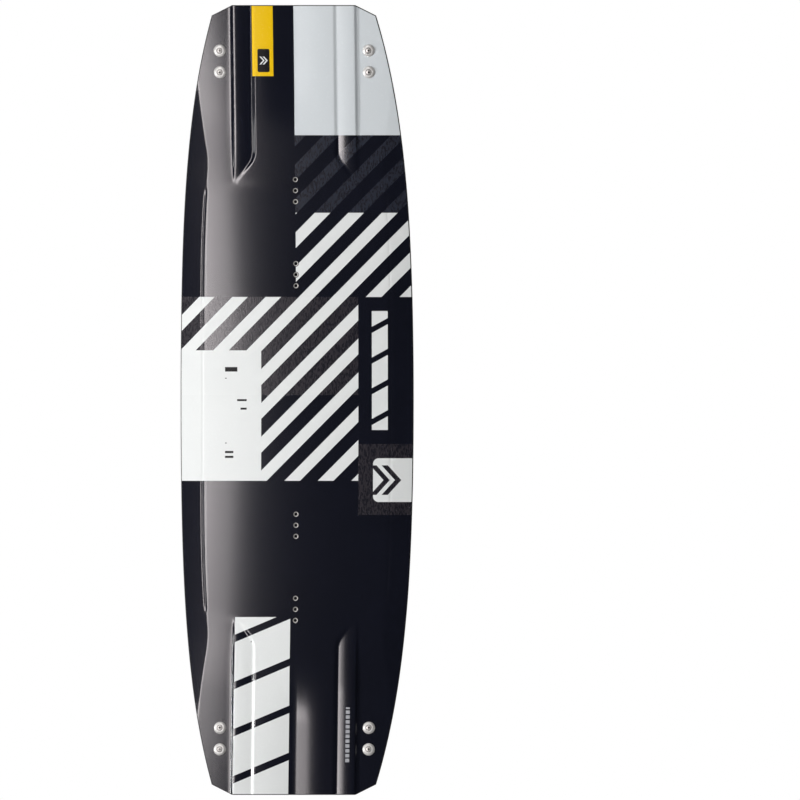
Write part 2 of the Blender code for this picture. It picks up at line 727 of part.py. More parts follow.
DECK_FINISH = material("deck_print", (0.012, 0.016, 0.026), 0.22)
BASE_FINISH = material("base_print", (0.075, 0.088, 0.110), 0.30)
CARBON_FINISH = material("carbon_laminate", (0.02, 0.02, 0.022), 0.35)
WOOD_FINISH = material("paulownia", (0.62, 0.47, 0.30), 0.65)
RAIL_FINISH = material("rail_plastic", (0.01, 0.01, 0.011), 0.45)
STEEL_FINISH = material("stainless_steel", (0.72, 0.71, 0.69), 0.22, 1.0)
BRASS_FINISH = material("brass", (0.70, 0.52, 0.22), 0.30, 1.0)
FIN_FINISH = material("fin_laminate", (0.80, 0.81, 0.80), 0.24)
CUTTER_FINISH = material("cutter", (0.8, 0.1, 0.1), 0.5)
BOARD_HOLES = []

board_layers = make_layers()
core_staves = make_staves()
make_rails()
make_inserts()
make_fins()
bore_the_board(board_layers, core_staves)
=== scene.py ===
from functools import reduce
from math import atan2, cos, pi, radians, sin, sqrt

import bmesh
import bpy
import numpy as np
from mathutils import Matrix, Vector


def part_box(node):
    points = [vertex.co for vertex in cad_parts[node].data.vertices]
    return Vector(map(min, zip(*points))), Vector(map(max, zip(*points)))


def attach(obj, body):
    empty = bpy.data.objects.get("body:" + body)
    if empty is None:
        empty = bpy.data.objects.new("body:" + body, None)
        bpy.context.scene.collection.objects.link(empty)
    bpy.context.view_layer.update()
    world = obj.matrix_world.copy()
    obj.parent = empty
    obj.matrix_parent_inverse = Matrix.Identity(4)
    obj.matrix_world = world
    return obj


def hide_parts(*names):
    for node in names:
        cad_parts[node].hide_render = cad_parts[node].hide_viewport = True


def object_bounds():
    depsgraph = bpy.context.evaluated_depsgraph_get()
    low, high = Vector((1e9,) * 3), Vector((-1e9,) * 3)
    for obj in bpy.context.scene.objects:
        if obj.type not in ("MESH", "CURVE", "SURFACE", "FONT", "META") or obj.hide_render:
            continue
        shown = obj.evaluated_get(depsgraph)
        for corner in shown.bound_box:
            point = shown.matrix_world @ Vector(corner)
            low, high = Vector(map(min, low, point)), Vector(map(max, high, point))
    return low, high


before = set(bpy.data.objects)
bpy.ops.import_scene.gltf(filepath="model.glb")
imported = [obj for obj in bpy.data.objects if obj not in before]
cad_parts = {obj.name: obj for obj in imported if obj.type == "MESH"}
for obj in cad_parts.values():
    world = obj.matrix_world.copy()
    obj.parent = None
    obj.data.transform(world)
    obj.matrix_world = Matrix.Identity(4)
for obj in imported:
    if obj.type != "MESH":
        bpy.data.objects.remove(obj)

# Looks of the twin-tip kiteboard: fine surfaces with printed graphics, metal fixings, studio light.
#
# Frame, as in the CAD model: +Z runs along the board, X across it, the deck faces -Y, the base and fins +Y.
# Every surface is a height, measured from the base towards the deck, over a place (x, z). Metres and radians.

CAD_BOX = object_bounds()
MM = 0.001
INFINITE = 1e9
SAME_PLACE = MM / 10

# ---- plan outline
HALF_LENGTH = 695 * MM
HALF_WIDTH = 206.5 * MM
TAPER_SQUARE = 0.0503
TAPER_FOURTH = 0.181
TIP_EDGE_HALF = 109 * MM
TIP_CHAMFER = 0.5

# ---- long shape and thickness
ROCKER = 44 * MM
CROWN = 6 * MM
CROWN_EASE = 0.6
MID_THICKNESS = 10 * MM
TIP_THICKNESS = 6 * MM
SHEET = 0.4 * MM
LAMINATE = 0.6 * MM
GLUE = 0.1 * MM
FIT = 0.3 * MM
LAMINATE_FROM = SHEET + GLUE
LAMINATE_TO = SHEET + GLUE + LAMINATE
UNDER_LAMINATE = LAMINATE_TO + GLUE
THINNING_POWER = 2.0

# ---- channels in the base
OUTER_WALL = (104 * MM, 107.5 * MM)
OUTER_WALL_STEP = 3.1 * MM
INNER_WALL = (65 * MM, 69.5 * MM)
INNER_WALL_STEP = 2.5 * MM
INNER_CHANNEL = (320 * MM, 470 * MM)
OUTER_CHANNEL = (360 * MM, 510 * MM)
GROOVE = 3.0 * MM
RAIL_STEP_AT = 148 * MM
RAIL_STEP = 1.2 * MM
RAIL_STEP_HALF = 1.2 * MM
RAIL_STEP_END = (340 * MM, 400 * MM)

# ---- steps, bevels and keel in the deck
TIP_PANEL_RISE = 5.0 * MM
INNER_STEP = (69.5 * MM, 76 * MM)
INNER_STEP_DROP = 2.5 * MM
OUTER_STEP = (107.5 * MM, 112 * MM)
OUTER_STEP_DROP = 5.25 * MM
STRIP_WIDTH = OUTER_STEP[0] - INNER_STEP[1]
STRIP_RISE = 2.25 * MM
STRIP_AT_WALL = INNER_STEP_DROP - STRIP_RISE
INNER_ROUNDING = 1.5 * MM
OUTER_ROUNDING = 4.5 * MM
ROUNDING_SHARE = 0.16
STEP_POINT = 386 * MM
STEP_CORNER = 426 * MM
STEP_CORNER_ROUND = 12 * MM
STEP_BLEND = (377 * MM, 393 * MM)
FALL_ACROSS = (30 * MM, 140 * MM)
SHOULDER_AT = 167 * MM
SHOULDER_THIN = 1.4 * MM
BEVEL_WIDTH = (41.5 * MM, 38.3 * MM)
BEVEL_NARROWS = (0, 330 * MM)
BEVEL_TURNS = 421 * MM
BEVEL_TURN_ROUND = 22 * MM
BEVEL_TURN_SLOPE = 0.27
BEVEL_LIP = 0.8 * MM
BEVEL_LIP_SPAN = (-1.6 * MM, 1.6 * MM)
BEVEL_LEDGE = 0.25 * MM
BEVEL_LEDGE_SPAN = (1.4 * MM, 4.4 * MM)
BEVEL_LIP_END = (357 * MM, 377 * MM)
BEVEL_FALL = 0.10
BEVEL_ROUND = 1.2 * MM
KEEL_SLOPE = 0.075
KEEL_FLANK = 22 * MM
KEEL_HALF = 60 * MM
KEEL_RAMP = (455 * MM, 570 * MM)

# ---- edges of the layers
SHEET_INSET = 1.5 * MM
RAIL_NOSE = 1.3 * MM
RAIL_TONGUE = 15.0 * MM
CORE_INSET = 15.3 * MM
NOSE_RECESS = 0.1 * MM
NOSE_ROUND = 0.7 * MM

# ---- fixings
INSERT_PITCH = 19.5 * MM
INSERT_GROUPS = (-368.5 * MM, -220.5 * MM, 220.5 * MM, 368.5 * MM)
INSERT_STATIONS = [group + step * INSERT_PITCH for group in INSERT_GROUPS for step in (-1, 0, 1)]
INSERT_RADIUS = 5 * MM
INSERT_BORE = 2.8 * MM
INSERT_LENGTH = 6.2 * MM
INSERT_BORE_DEPTH = 5.2 * MM
FLANGE_RADIUS = 8.5 * MM
FLANGE_TOP = 1.6 * MM
FLANGE_BOTTOM = 2.8 * MM
INSERT_RIM = 0.4 * MM
INSERT_MOUTH = 0.9 * MM
MOUTH_INNER = 0.4  # where the mouth's bright bevel ends, as a share of its width
MOUTH_LOWER = 0.25  # and as a share of its depth
INSERT_SEGMENTS = 40
THREAD_PITCH = 1.0 * MM
THREAD_DEPTH = 0.35 * MM
THREAD_ROWS = 36  # steps down the threaded bore
THREAD_FADE = 4  # steps over which the thread runs out at either end
FIN_X = 132 * MM
FIN_FROM = 520 * MM
FIN_TO = 674 * MM
FIN_HEIGHT = 45 * MM
FIN_FORWARD_LEAN = 0.10
FIN_SWEEP = 0.42
FIN_SWEEP_POWER = 2.2
FIN_BACK_LEAN = 7 * MM
FIN_BACK_POWER = 1.5
FIN_THINNING = 0.9
FIN_ROOT_THICKNESS = 9 * MM
FIN_EDGE_THICKNESS = 2.4 * MM
FIN_LEAST_THICKNESS = 0.8 * MM
FIN_FULLNESS = 2.9
FIN_TAIL = 0.42
FIN_LEVELS = (0.0, 0.12, 0.25, 0.38, 0.5, 0.62, 0.73, 0.82, 0.9, 0.95, 0.975, 0.99, 1.0)
FIN_CHORD_STEPS = 36
FIN_ROUND_FROM = 0.95  # level from which the blade's outer edge is rounded
FIN_ROUND_SPAN = 0.0502
FIN_LEAST_ROUND = 0.05
FIN_SHARP = radians(50)
FIN_SCREWS = (577 * MM, 615 * MM)
FIN_MIDDLE = sum(FIN_SCREWS) / 2
FIN_INSERT_RADIUS = 3.1 * MM
FIN_INSERT_LENGTH = 10 * MM
FIN_POCKET_ROOM = 0.2 * MM
DRILL_SEGMENTS = 24
DRILL_ROOM = 3 * MM
SHANK_RADIUS = 2.4 * MM
HEAD_RADIUS = 5 * MM
WASHER_RADIUS = 10.8 * MM
WASHER_HEIGHT = 3.2 * MM
WASHER_BORE = 3.1 * MM
WASHER_SEAT = 0.3 * MM
WASHER_EDGE = 0.7 * MM
WASHER_CHAMFER = (0.3 * MM, 0.2 * MM)  # inwards and upwards
WASHER_SINK = 2.3 * MM
FLANK_WIDTH = 4.4 * MM
FLANK_POWER = 0.9
DOME_SHARES = (0, 0.15, 0.3, 0.45, 0.6, 0.72, 0.82, 0.91, 1.0)
DOME_TOP = 0.35 * MM
DOME_FALL = 0.6 * MM
CROSS_HEIGHTS = (WASHER_HEIGHT - 1.7 * MM, WASHER_HEIGHT + 1.0 * MM)
CROSS_HALF = (0.30 * MM, 0.78 * MM)  # half width of the cross's arms at those heights
CROSS_REACH = 3.4  # length of its arms against their half width
SHANK_PITCH = 0.9 * MM
SHANK_THREAD = 0.35 * MM
SHANK_TOP = 2.85 * MM  # depth under the washer's top
THREAD_TOP = 3.2 * MM  # depth under the washer's top
THREAD_IN_FIN = 7.4 * MM
SCREW_IN_FIN = 8.6 * MM
SCREW_SEGMENTS = 48
WASHER_SEGMENTS = 64
WASHER_SHARES = (0, 0.12, 0.25, 0.4, 0.55, 0.7, 0.85, 1.0)
SHADED_UNDER = 0.15 * MM  # what lies deeper than this under the head's dome is painted dark, as painted shade in the cross recess
HEAD_SEAM = 0.93  # share of the head's radius from which the seam around it is painted dark, as painted shade between head and washer
PLATE_ROOM = 0.4 * MM
SHARP = radians(38)  # edges that turn by more than this are drawn sharp


# ======== the shape as formulas, over numpy arrays
def ease(low, high, value):
    """0 below low, 1 above high, and a smooth climb between them."""
    share = np.clip((value - low) / (high - low), 0.0, 1.0)
    return share * share * (3.0 - 2.0 * share)


def side_x(z, inset=0.0):
    """Half width of the outline at z, moved inwards by inset."""
    along = np.abs(z)
    slope = 2.0 * TAPER_SQUARE * along + 4.0 * TAPER_FOURTH * along**3
    width = HALF_WIDTH - TAPER_SQUARE * along**2 - TAPER_FOURTH * along**4
    return width - inset * np.sqrt(1.0 + slope**2)


def end_z(x, inset=0.0):
    """Where the board ends at x, on the tip's edge or on the cut corner beside it, moved inwards by inset."""
    cut = HALF_LENGTH - (np.abs(x) - TIP_EDGE_HALF) * TIP_CHAMFER - inset * sqrt(1.0 + TIP_CHAMFER**2)
    return np.minimum(HALF_LENGTH - inset, cut)


def rocker(z):
    return ROCKER * (z / HALF_LENGTH) ** 2


def rocker_tilt(z):
    return atan2(2.0 * ROCKER * z, HALF_LENGTH**2)


def crown(x, z):
    return -CROWN * (x / HALF_WIDTH) ** 2 * (1.0 - CROWN_EASE * (z / HALF_LENGTH) ** 2)


def ramp(value, radius):
    """0 below zero and the value itself above, with a round start."""
    rounded_start = (value + radius) ** 2 / (4.0 * radius)
    return np.where(value < -radius, 0.0, np.where(value > radius, value, rounded_start))


def inner_channel(z):
    return ease(*INNER_CHANNEL, np.abs(z))


def outer_channel(z):
    return ease(*OUTER_CHANNEL, np.abs(z))


def keel(x, z):
    """A V along the tip's centre line: straight flanks that flatten out sideways."""
    across = np.minimum(np.abs(x), KEEL_HALF)
    curved = (KEEL_HALF - across) ** 2 / (2.0 * (KEEL_HALF - KEEL_FLANK))
    straight = (KEEL_FLANK - across) + (KEEL_HALF - KEEL_FLANK) / 2.0
    return KEEL_SLOPE * np.where(across > KEEL_FLANK, curved, straight) * ease(*KEEL_RAMP, np.abs(z))


def base_height(x, z):
    """The base: a groove beside each outer wall amidships, which turns into two steps at the tips."""
    across = np.abs(x)
    outer_side = ease(*OUTER_WALL, across)
    groove_floor = np.clip((across - INNER_STEP[0]) / (OUTER_WALL[0] - INNER_STEP[0]), 0.0, 1.0)
    groove = GROOVE * groove_floor * (1.0 - outer_side) * (1.0 - outer_channel(z))
    outer = OUTER_WALL_STEP * (1.0 - outer_side) * outer_channel(z)
    inner = INNER_WALL_STEP * (1.0 - ease(*INNER_WALL, across)) * inner_channel(z)
    at_rail = ease(RAIL_STEP_AT - RAIL_STEP_HALF, RAIL_STEP_AT + RAIL_STEP_HALF, across)
    rail_step = RAIL_STEP * at_rail * (1.0 - ease(*RAIL_STEP_END, np.abs(z)))
    return rocker(z) + crown(x, z) + groove + outer + inner - rail_step - keel(x, z)


def centre_thickness(z):
    return MID_THICKNESS + (TIP_THICKNESS - MID_THICKNESS) * (np.abs(z) / HALF_LENGTH) ** THINNING_POWER


def bevel_start(z):
    """The line where the rail's bevel begins, which runs out at the side before the tip."""
    along = np.abs(z)
    width = BEVEL_WIDTH[0] + (BEVEL_WIDTH[1] - BEVEL_WIDTH[0]) * ease(*BEVEL_NARROWS, along)
    return side_x(z) - width + BEVEL_TURN_SLOPE * ramp(along - BEVEL_TURNS, BEVEL_TURN_ROUND)


def bevel_drop(x, z):
    """The bevel's fall, with a lip and a shallow ledge at its foot along the middle of the board."""
    past = np.abs(x) - bevel_start(z)
    lipped = 1.0 - ease(*BEVEL_LIP_END, np.abs(z))
    lip = BEVEL_LIP * ease(*BEVEL_LIP_SPAN, past) - BEVEL_LEDGE * ease(*BEVEL_LEDGE_SPAN, past)
    return lip * lipped + BEVEL_FALL * ramp(past - BEVEL_LEDGE_SPAN[1] * lipped, BEVEL_ROUND)


def wall(low, high, rounding, value):
    """A step between two places, steep in the middle, with a softer rounding beyond either side."""
    soft = ease(low - rounding, high + rounding, value)
    return ROUNDING_SHARE * soft + (1.0 - ROUNDING_SHARE) * ease(low, high, value)


def step_offset(z):
    """How far out the inner step stands at z: 0 beyond its corner, the whole strip's width at its point."""
    short_of_corner = ramp(STEP_CORNER - np.abs(z), STEP_CORNER_ROUND)
    return STRIP_WIDTH * np.minimum(short_of_corner / (STEP_CORNER - STEP_POINT), 1.0)


def stepped_drop(x, z):
    """How far the stepped deck lies under the centre panel: a wall, the rising strip and a second wall."""
    across, offset = np.abs(x), step_offset(z)
    strip = np.clip((across - INNER_STEP[1]) / STRIP_WIDTH, 0.0, 1.0)
    strip_drop = INNER_STEP_DROP - STRIP_RISE * (1.0 - (1.0 - strip) ** 2)
    inner = strip_drop * wall(INNER_STEP[0] + offset, INNER_STEP[1] + offset, INNER_ROUNDING, across)
    outer_drop = (OUTER_STEP_DROP + STRIP_AT_WALL) * outer_channel(z) - STRIP_AT_WALL
    return inner + outer_drop * wall(*OUTER_STEP, OUTER_ROUNDING, across)


def deck_height(x, z):
    """The deck: a smooth crown amidships, two steps beside the centre panel at the tips, bevelled rails."""
    across = np.abs(x)
    blend = ease(*STEP_BLEND, np.abs(z))
    shoulder_drop = (OUTER_STEP_DROP + STRIP_AT_WALL) * outer_channel(z)
    smooth_drop = shoulder_drop * ease(*FALL_ACROSS, across)
    thinning = SHOULDER_THIN * (across / SHOULDER_AT) ** 2
    drop = thinning + (1.0 - blend) * smooth_drop + blend * stepped_drop(x, z) + bevel_drop(x, z)
    panel = TIP_PANEL_RISE * outer_channel(z)
    return rocker(z) + crown(x, z) + centre_thickness(z) + panel - drop - keel(x, z)


# The CAD frame's middle height, read back from the lowest place of the base sheet, its edge amidships.
CENTRE_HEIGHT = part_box("base_sheet")[1].y + float(base_height(side_x(0.0, SHEET_INSET), 0.0))


def place(x, z, height):
    """World position of a height over (x, z)."""
    return Vector((float(x), float(CENTRE_HEIGHT - height), float(z)))


# ======== the grid that all the layers share
def spread(stops, steps):
    """Places from the first stop to the last, divided evenly between stops into steps of about this size."""
    places = [stops[0]]
    for low, high, step in zip(stops, stops[1:], steps):
        count = max(1, round((high - low) / step))
        places += [low + (high - low) * part / count for part in range(1, count + 1)]
    return np.array(places)


PANEL_EDGE = 36.5 * MM  # the centre stave's edge
TIP_FROM = 600 * MM  # from here on the rows bend with the outline of the tip
BEVEL_BAND = (2.0 * MM, 6.5 * MM)  # reach of the band of close columns on either side of the bevel's line
BEVEL_ROOM = (9.0 * MM, 3.0 * MM)  # how near the side those columns may come
RAIL_STEP_BAND = 1.5 * MM  # half of the band of close columns at the step beside the rail
RAIL_STEP_SHARES = (0.74, 0.86)  # how far towards the bevel's band that one may reach
COLUMN_STOPS = (0, PANEL_EDGE, INNER_WALL[0], INNER_STEP[1], OUTER_WALL[0], OUTER_STEP[0], OUTER_STEP[1])
COLUMN_STEPS = (5.2 * MM, 4.4 * MM, 1.2 * MM, 1.8 * MM, 0.8 * MM, 0.9 * MM, 1.6 * MM)
BAND_COLUMNS = (5, 4, 3, 8, 6)  # columns in the bands that bend with the bevel and the outline
ROW_STOPS = (0, 372 * MM, 440 * MM, TIP_FROM)
ROW_STEPS = (6.2 * MM, 2.4 * MM, 5.7 * MM)
TIP_STOPS = (0.0, 0.9, 1.0)  # as shares of the way from the last of those rows to the outline
TIP_STEPS = (0.06, 0.03)
SETTLING_ROUNDS = 60


class Grid:
    """Columns and rows over one quarter of the board, at a fineness from 1 upwards."""

    def __init__(self, fineness):
        column_stops = [*COLUMN_STOPS, OUTER_STEP[1] + OUTER_ROUNDING]
        self.columns = spread(column_stops, [step * fineness for step in COLUMN_STEPS])
        per_band = [max(1, round(count / fineness)) for count in BAND_COLUMNS]
        self.places = np.concatenate([
            number + np.arange(1, count + 1) / count for number, count in enumerate(per_band)
        ])
        self.rows = spread(ROW_STOPS, [step * fineness for step in ROW_STEPS])
        self.tip_shares = spread(TIP_STOPS, [step * fineness for step in TIP_STEPS])[1:]

    def column_x(self, z, inset):
        """x of every column at z, where z has one entry for every row and column."""
        inner = len(self.columns)
        x = np.empty_like(z)
        x[:, :inner] = self.columns
        outer_z = z[:, inner:]
        start = np.full_like(outer_z, self.columns[-1])
        side = side_x(outer_z, inset)
        bevel = bevel_start(outer_z)
        before = np.minimum(bevel - BEVEL_BAND[0], side - BEVEL_ROOM[0])
        after = np.minimum(bevel + BEVEL_BAND[1], side - BEVEL_ROOM[1])
        low, high = (start + (before - start) * share for share in RAIL_STEP_SHARES)
        low = np.minimum(RAIL_STEP_AT - RAIL_STEP_BAND, low)
        high = np.minimum(RAIL_STEP_AT + RAIL_STEP_BAND, high)
        stops = [start, low, high, before, after, side]
        for number, (first, last) in enumerate(zip(stops, stops[1:])):
            inside = (self.places > number) & (self.places <= number + 1)
            share = self.places[inside] - number
            x[:, inner:][:, inside] = first[:, inside] + (last - first)[:, inside] * share
        return x

    def row_z(self, x, inset):
        fixed = len(self.rows)
        z = np.empty_like(x)
        z[:fixed] = self.rows[:, None]
        z[fixed:] = TIP_FROM + (end_z(x[fixed:], inset) - TIP_FROM) * self.tip_shares[:, None]
        return z

    def quarter(self, inset):
        """The places where the columns and rows of one quarter meet, for a piece that ends at inset."""
        shape = (len(self.rows) + len(self.tip_shares), len(self.columns) + len(self.places))
        x, z = np.zeros(shape), np.zeros(shape)
        for _ in range(SETTLING_ROUNDS):
            z = self.row_z(x, inset)
            x = self.column_x(z, inset)
        return x, z

    def whole(self, inset):
        x, z = self.quarter(inset)
        x = np.concatenate([-x[:, :0:-1], x], axis=1)
        z = np.concatenate([z[:, :0:-1], z], axis=1)
        return np.concatenate([x[:0:-1], x]), np.concatenate([-z[:0:-1], z])


FINE = Grid(1.0)
PLAIN = Grid(2.4)


# ======== making Blender objects
def put_in(name, data):
    """An object in the scene that shows a mesh, a light or a camera."""
    added = bpy.data.objects.new(name, data)
    bpy.context.scene.collection.objects.link(added)
    return added


def add_object(name, points, faces, finish, sharp=SHARP):
    """A piece from its points and faces, with outward normals and sharp edges where it turns by more."""
    mesh = bpy.data.meshes.new(name)
    mesh.from_pydata([tuple(point) for point in points], [], faces)
    mesh.materials.append(finish)
    added = put_in(name, mesh)
    shell = bmesh.new()
    shell.from_mesh(mesh)
    bmesh.ops.recalc_face_normals(shell, faces=shell.faces)
    shell.to_mesh(mesh)
    shell.free()
    mesh.shade_smooth()
    mesh.set_sharp_from_angle(angle=sharp)
    return added


def standing_for(piece, node):
    """The piece rides on the board and takes the node's place."""
    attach(piece, "root")
    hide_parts(node)


def carry(piece, name, domain, values):
    """Stores a number for each point or face of the piece's mesh, which its material reads."""
    field = piece.data.attributes.new(name, "FLOAT", domain)
    field.data.foreach_set("value", np.array(values, dtype=np.float32))


def layer(name, x, z, upper, lower, finish):
    """A closed slab between two height functions, over a grid of plan places."""
    rows, columns = x.shape
    top, bottom = CENTRE_HEIGHT - upper(x, z), CENTRE_HEIGHT - lower(x, z)
    points = np.concatenate([np.stack([x, y, z], axis=-1).reshape(-1, 3) for y in (top, bottom)])
    under = rows * columns
    index = np.arange(under).reshape(rows, columns)
    a, b, c, d = index[:-1, :-1], index[:-1, 1:], index[1:, 1:], index[1:, :-1]
    quads = np.stack([a, b, c, d], axis=-1).reshape(-1, 4)
    rim = np.concatenate([index[0], index[1:, -1], index[-1, -2::-1], index[-2:0:-1, 0]])
    following = np.roll(rim, -1)
    walls = np.stack([rim, following, under + following, under + rim], axis=-1)
    faces = np.concatenate([quads, under + quads[:, ::-1], walls[:, ::-1]])
    return add_object(name, points.tolist(), faces.tolist(), finish)


def circle(frame_of, radii, height):
    """Points round the frame's Z at a height, evenly turned, one for each radius."""
    points = []
    for step, radius in enumerate(radii):
        angle = 2 * pi * step / len(radii)
        points.append(frame_of @ Vector((radius * cos(angle), radius * sin(angle), height)))
    return points


def band(first, second):
    """Faces between two rings, which are given as the numbers of their points."""
    following = [*range(1, len(first)), 0]
    return [(first[step], first[after], second[after], second[step]) for step, after in enumerate(following)]


def turned(name, profile, segments, finish, frame_of):
    """A solid of revolution from (radius, height) pairs: first and last on the axis, or a closed ring."""
    closed_ring = profile[0][0] > 0
    points, rings = [], []
    for radius, height in profile:
        if radius == 0:
            rings.append([len(points)])
            points.append(frame_of @ Vector((0, 0, height)))
            continue
        rings.append(list(range(len(points), len(points) + segments)))
        points += circle(frame_of, [radius] * segments, height)
    pairs = list(zip(rings, rings[1:])) + ([(rings[-1], rings[0])] if closed_ring else [])
    faces = []
    for first, second in pairs:
        for step in range(segments):
            after = (step + 1) % segments
            near = (first[step % len(first)], first[after % len(first)])
            far = (second[after % len(second)], second[step % len(second)])
            faces.append(tuple(dict.fromkeys(near + far)))
    return add_object(name, points, [face for face in faces if len(face) > 2], finish)


def arc(centre, radius, start, end, steps):
    """Profile points along an arc, with angles in degrees from the +radius direction."""
    angles = [radians(start + (end - start) * step / steps) for step in range(steps + 1)]
    return [(centre[0] + radius * cos(angle), centre[1] + radius * sin(angle)) for angle in angles]


def deck_frame(x, z, reach):
    """A frame standing on the deck at (x, z): its Z leaves the deck, square to it as measured over reach."""
    rise_across = float(deck_height(x + reach, z) - deck_height(x - reach, z)) / (2 * reach)
    rise_along = float(deck_height(x, z + reach) - deck_height(x, z - reach)) / (2 * reach)
    outwards = Vector((-rise_across, -1.0, -rise_along)).normalized()
    turn = Vector((0, 0, 1)).rotation_difference(outwards).to_matrix().to_4x4()
    return Matrix.Translation(place(x, z, deck_height(x, z))) @ turn


def rods(name, parts, segments):
    """One tool made of separate rods: (frame, radius, low, high) for each."""
    points, faces = [], []
    for frame_of, radius, low, high in parts:
        start = len(points)
        for height in (low, high):
            points += circle(frame_of, [radius] * segments, height)
        bottom, top = range(start, start + segments), range(start + segments, start + 2 * segments)
        faces += band(bottom, top)
        faces += [tuple(reversed(bottom)), tuple(top)]
    return add_object(name, points, faces, bpy.data.materials.new(name))


def cut(target, tools, sharp=SHARP):
    """Cuts the tools out of the target for good."""
    for tool in tools:
        hole = target.modifiers.new(tool.name, "BOOLEAN")
        hole.operation = "DIFFERENCE"
        hole.solver = "EXACT"
        hole.object = tool
    bpy.context.view_layer.update()
    result = bpy.data.meshes.new_from_object(target.evaluated_get(bpy.context.evaluated_depsgraph_get()))
    target.modifiers.clear()
    finish = target.data.materials[0]
    target.data = result
    result.materials.clear()
    result.materials.append(finish)
    for face in result.polygons:
        face.material_index = 0
    result.shade_smooth()
    result.set_sharp_from_angle(angle=sharp)
    return target


def throw_away(objects):
    for tool in objects:
        finish = tool.data.materials[0]
        bpy.data.objects.remove(tool, do_unlink=True)
        bpy.data.materials.remove(finish)


# ======== shader fields
class Field:
    """A number that varies over a surface: an output socket of a shader node, with arithmetic."""

    def __init__(self, socket):
        self.socket = socket

    def __add__(self, other):
        return maths("ADD", self, other)

    def __sub__(self, other):
        return maths("SUBTRACT", self, other)

    def __mul__(self, other):
        return maths("MULTIPLY", self, other)

    def __rsub__(self, other):
        return maths("SUBTRACT", other, self)

    __radd__ = __add__
    __rmul__ = __mul__


def tree_of(inputs):
    return next(item.socket.id_data for item in inputs if isinstance(item, Field))


def feed(tree, slot, value):
    if isinstance(value, Field):
        tree.links.new(value.socket, slot)
    else:
        slot.default_value = value


def maths(operation, *inputs):
    tree = tree_of(inputs)
    node = tree.nodes.new("ShaderNodeMath")
    node.operation = operation
    for slot, value in zip(node.inputs, inputs):
        feed(tree, slot, value)
    return Field(node.outputs[0])


def near(value, middle, reach):
    """1 where the value is within reach of the middle."""
    return maths("COMPARE", value, middle, reach)


def over(value, limit):
    return maths("GREATER_THAN", value, limit)


def under(value, limit):
    return maths("LESS_THAN", value, limit)


def smooth(value, low, high, start=0.0, end=1.0):
    """Goes smoothly from start to end as the value goes from low to high."""
    tree = tree_of([value])
    node = tree.nodes.new("ShaderNodeMapRange")
    node.interpolation_type = "SMOOTHSTEP"
    for slot, number in zip(node.inputs, (value, low, high, start, end)):
        feed(tree, slot, number)
    return Field(node.outputs[0])


def rectangle(x, z, left, right, low, high):
    return near(x, (left + right) / 2, (right - left) / 2) * near(z, (low + high) / 2, (high - low) / 2)


def stripes(value, start, pitch, share):
    """1 over the first share of every pitch, counted from start."""
    return under(maths("FRACT", (value - start) * (1.0 / pitch)), share)


def rounded(x, z, left, right, low, high, corner):
    """A rectangle with round corners."""
    out_x = maths("MAXIMUM", maths("ABSOLUTE", x - (left + right) / 2) - ((right - left) / 2 - corner), 0.0)
    out_z = maths("MAXIMUM", maths("ABSOLUTE", z - (low + high) / 2) - ((high - low) / 2 - corner), 0.0)
    return under(out_x * out_x + out_z * out_z, corner**2)


def both(*masks):
    """1 where all the masks are."""
    return reduce(lambda made, mask: made * mask, masks)


def either(*masks):
    """1 where any of the masks is."""
    return reduce(lambda made, mask: maths("MAXIMUM", made, mask), masks)


def mixed(mask, first, second):
    """A colour between two, each plain or varying."""
    tree = tree_of([mask])
    node = tree.nodes.new("ShaderNodeMix")
    node.data_type = "RGBA"
    for slot, value in ((node.inputs[0], mask), (node.inputs[6], first), (node.inputs[7], second)):
        feed(tree, slot, value if isinstance(value, Field) else (*value, 1.0))
    return Field(node.outputs[2])


class Finish:
    """A material under construction: its Principled shader, and the coordinates of the board's frame."""

    def __init__(self, name, **constants):
        self.material = bpy.data.materials.new(name)
        self.material.use_nodes = True
        self.tree = self.material.node_tree
        self.shader = self.tree.nodes["Principled BSDF"]
        for slot, value in constants.items():
            self.feed(slot.replace("_", " "), value)
        self.coordinates = Field(self.tree.nodes.new("ShaderNodeTexCoord").outputs["Object"])
        parts = self.tree.nodes.new("ShaderNodeSeparateXYZ")
        feed(self.tree, parts.inputs[0], self.coordinates)
        self.x, self.y, self.z = (Field(socket) for socket in parts.outputs)

    def feed(self, slot, value):
        feed(self.tree, self.shader.inputs[slot], value)

    def noise(self, scale, detail=2.0, roughness=0.5, stretch=(1, 1, 1)):
        mapping = self.tree.nodes.new("ShaderNodeMapping")
        feed(self.tree, mapping.inputs["Scale"], stretch)
        feed(self.tree, mapping.inputs["Vector"], self.coordinates)
        node = self.tree.nodes.new("ShaderNodeTexNoise")
        for slot, value in (("Scale", scale), ("Detail", detail), ("Roughness", roughness)):
            feed(self.tree, node.inputs[slot], value)
        feed(self.tree, node.inputs["Vector"], Field(mapping.outputs[0]))
        return Field(node.outputs[0])

    def carried(self, name):
        """The number that the piece's mesh carries under this name."""
        node = self.tree.nodes.new("ShaderNodeAttribute")
        node.attribute_name = name
        return Field(node.outputs["Fac"])

    def done(self, colour, roughness, relief, depth, strength=1.0):
        """Links up colour, roughness and relief, and gives the material."""
        bump = self.tree.nodes.new("ShaderNodeBump")
        for slot, value in (("Strength", strength), ("Distance", depth), ("Height", relief)):
            feed(self.tree, bump.inputs[slot], value)
        self.feed("Base Color", colour)
        self.feed("Roughness", roughness)
        self.feed("Normal", Field(bump.outputs[0]))
        return self.material


def srgb(*levels):
    """A colour given as 8-bit display values, in the linear light that shaders use."""
    return tuple(
        ((level / 255 + 0.055) / 1.055) ** 2.4 if level > 10 else level / 255 / 12.92 for level in levels
    )


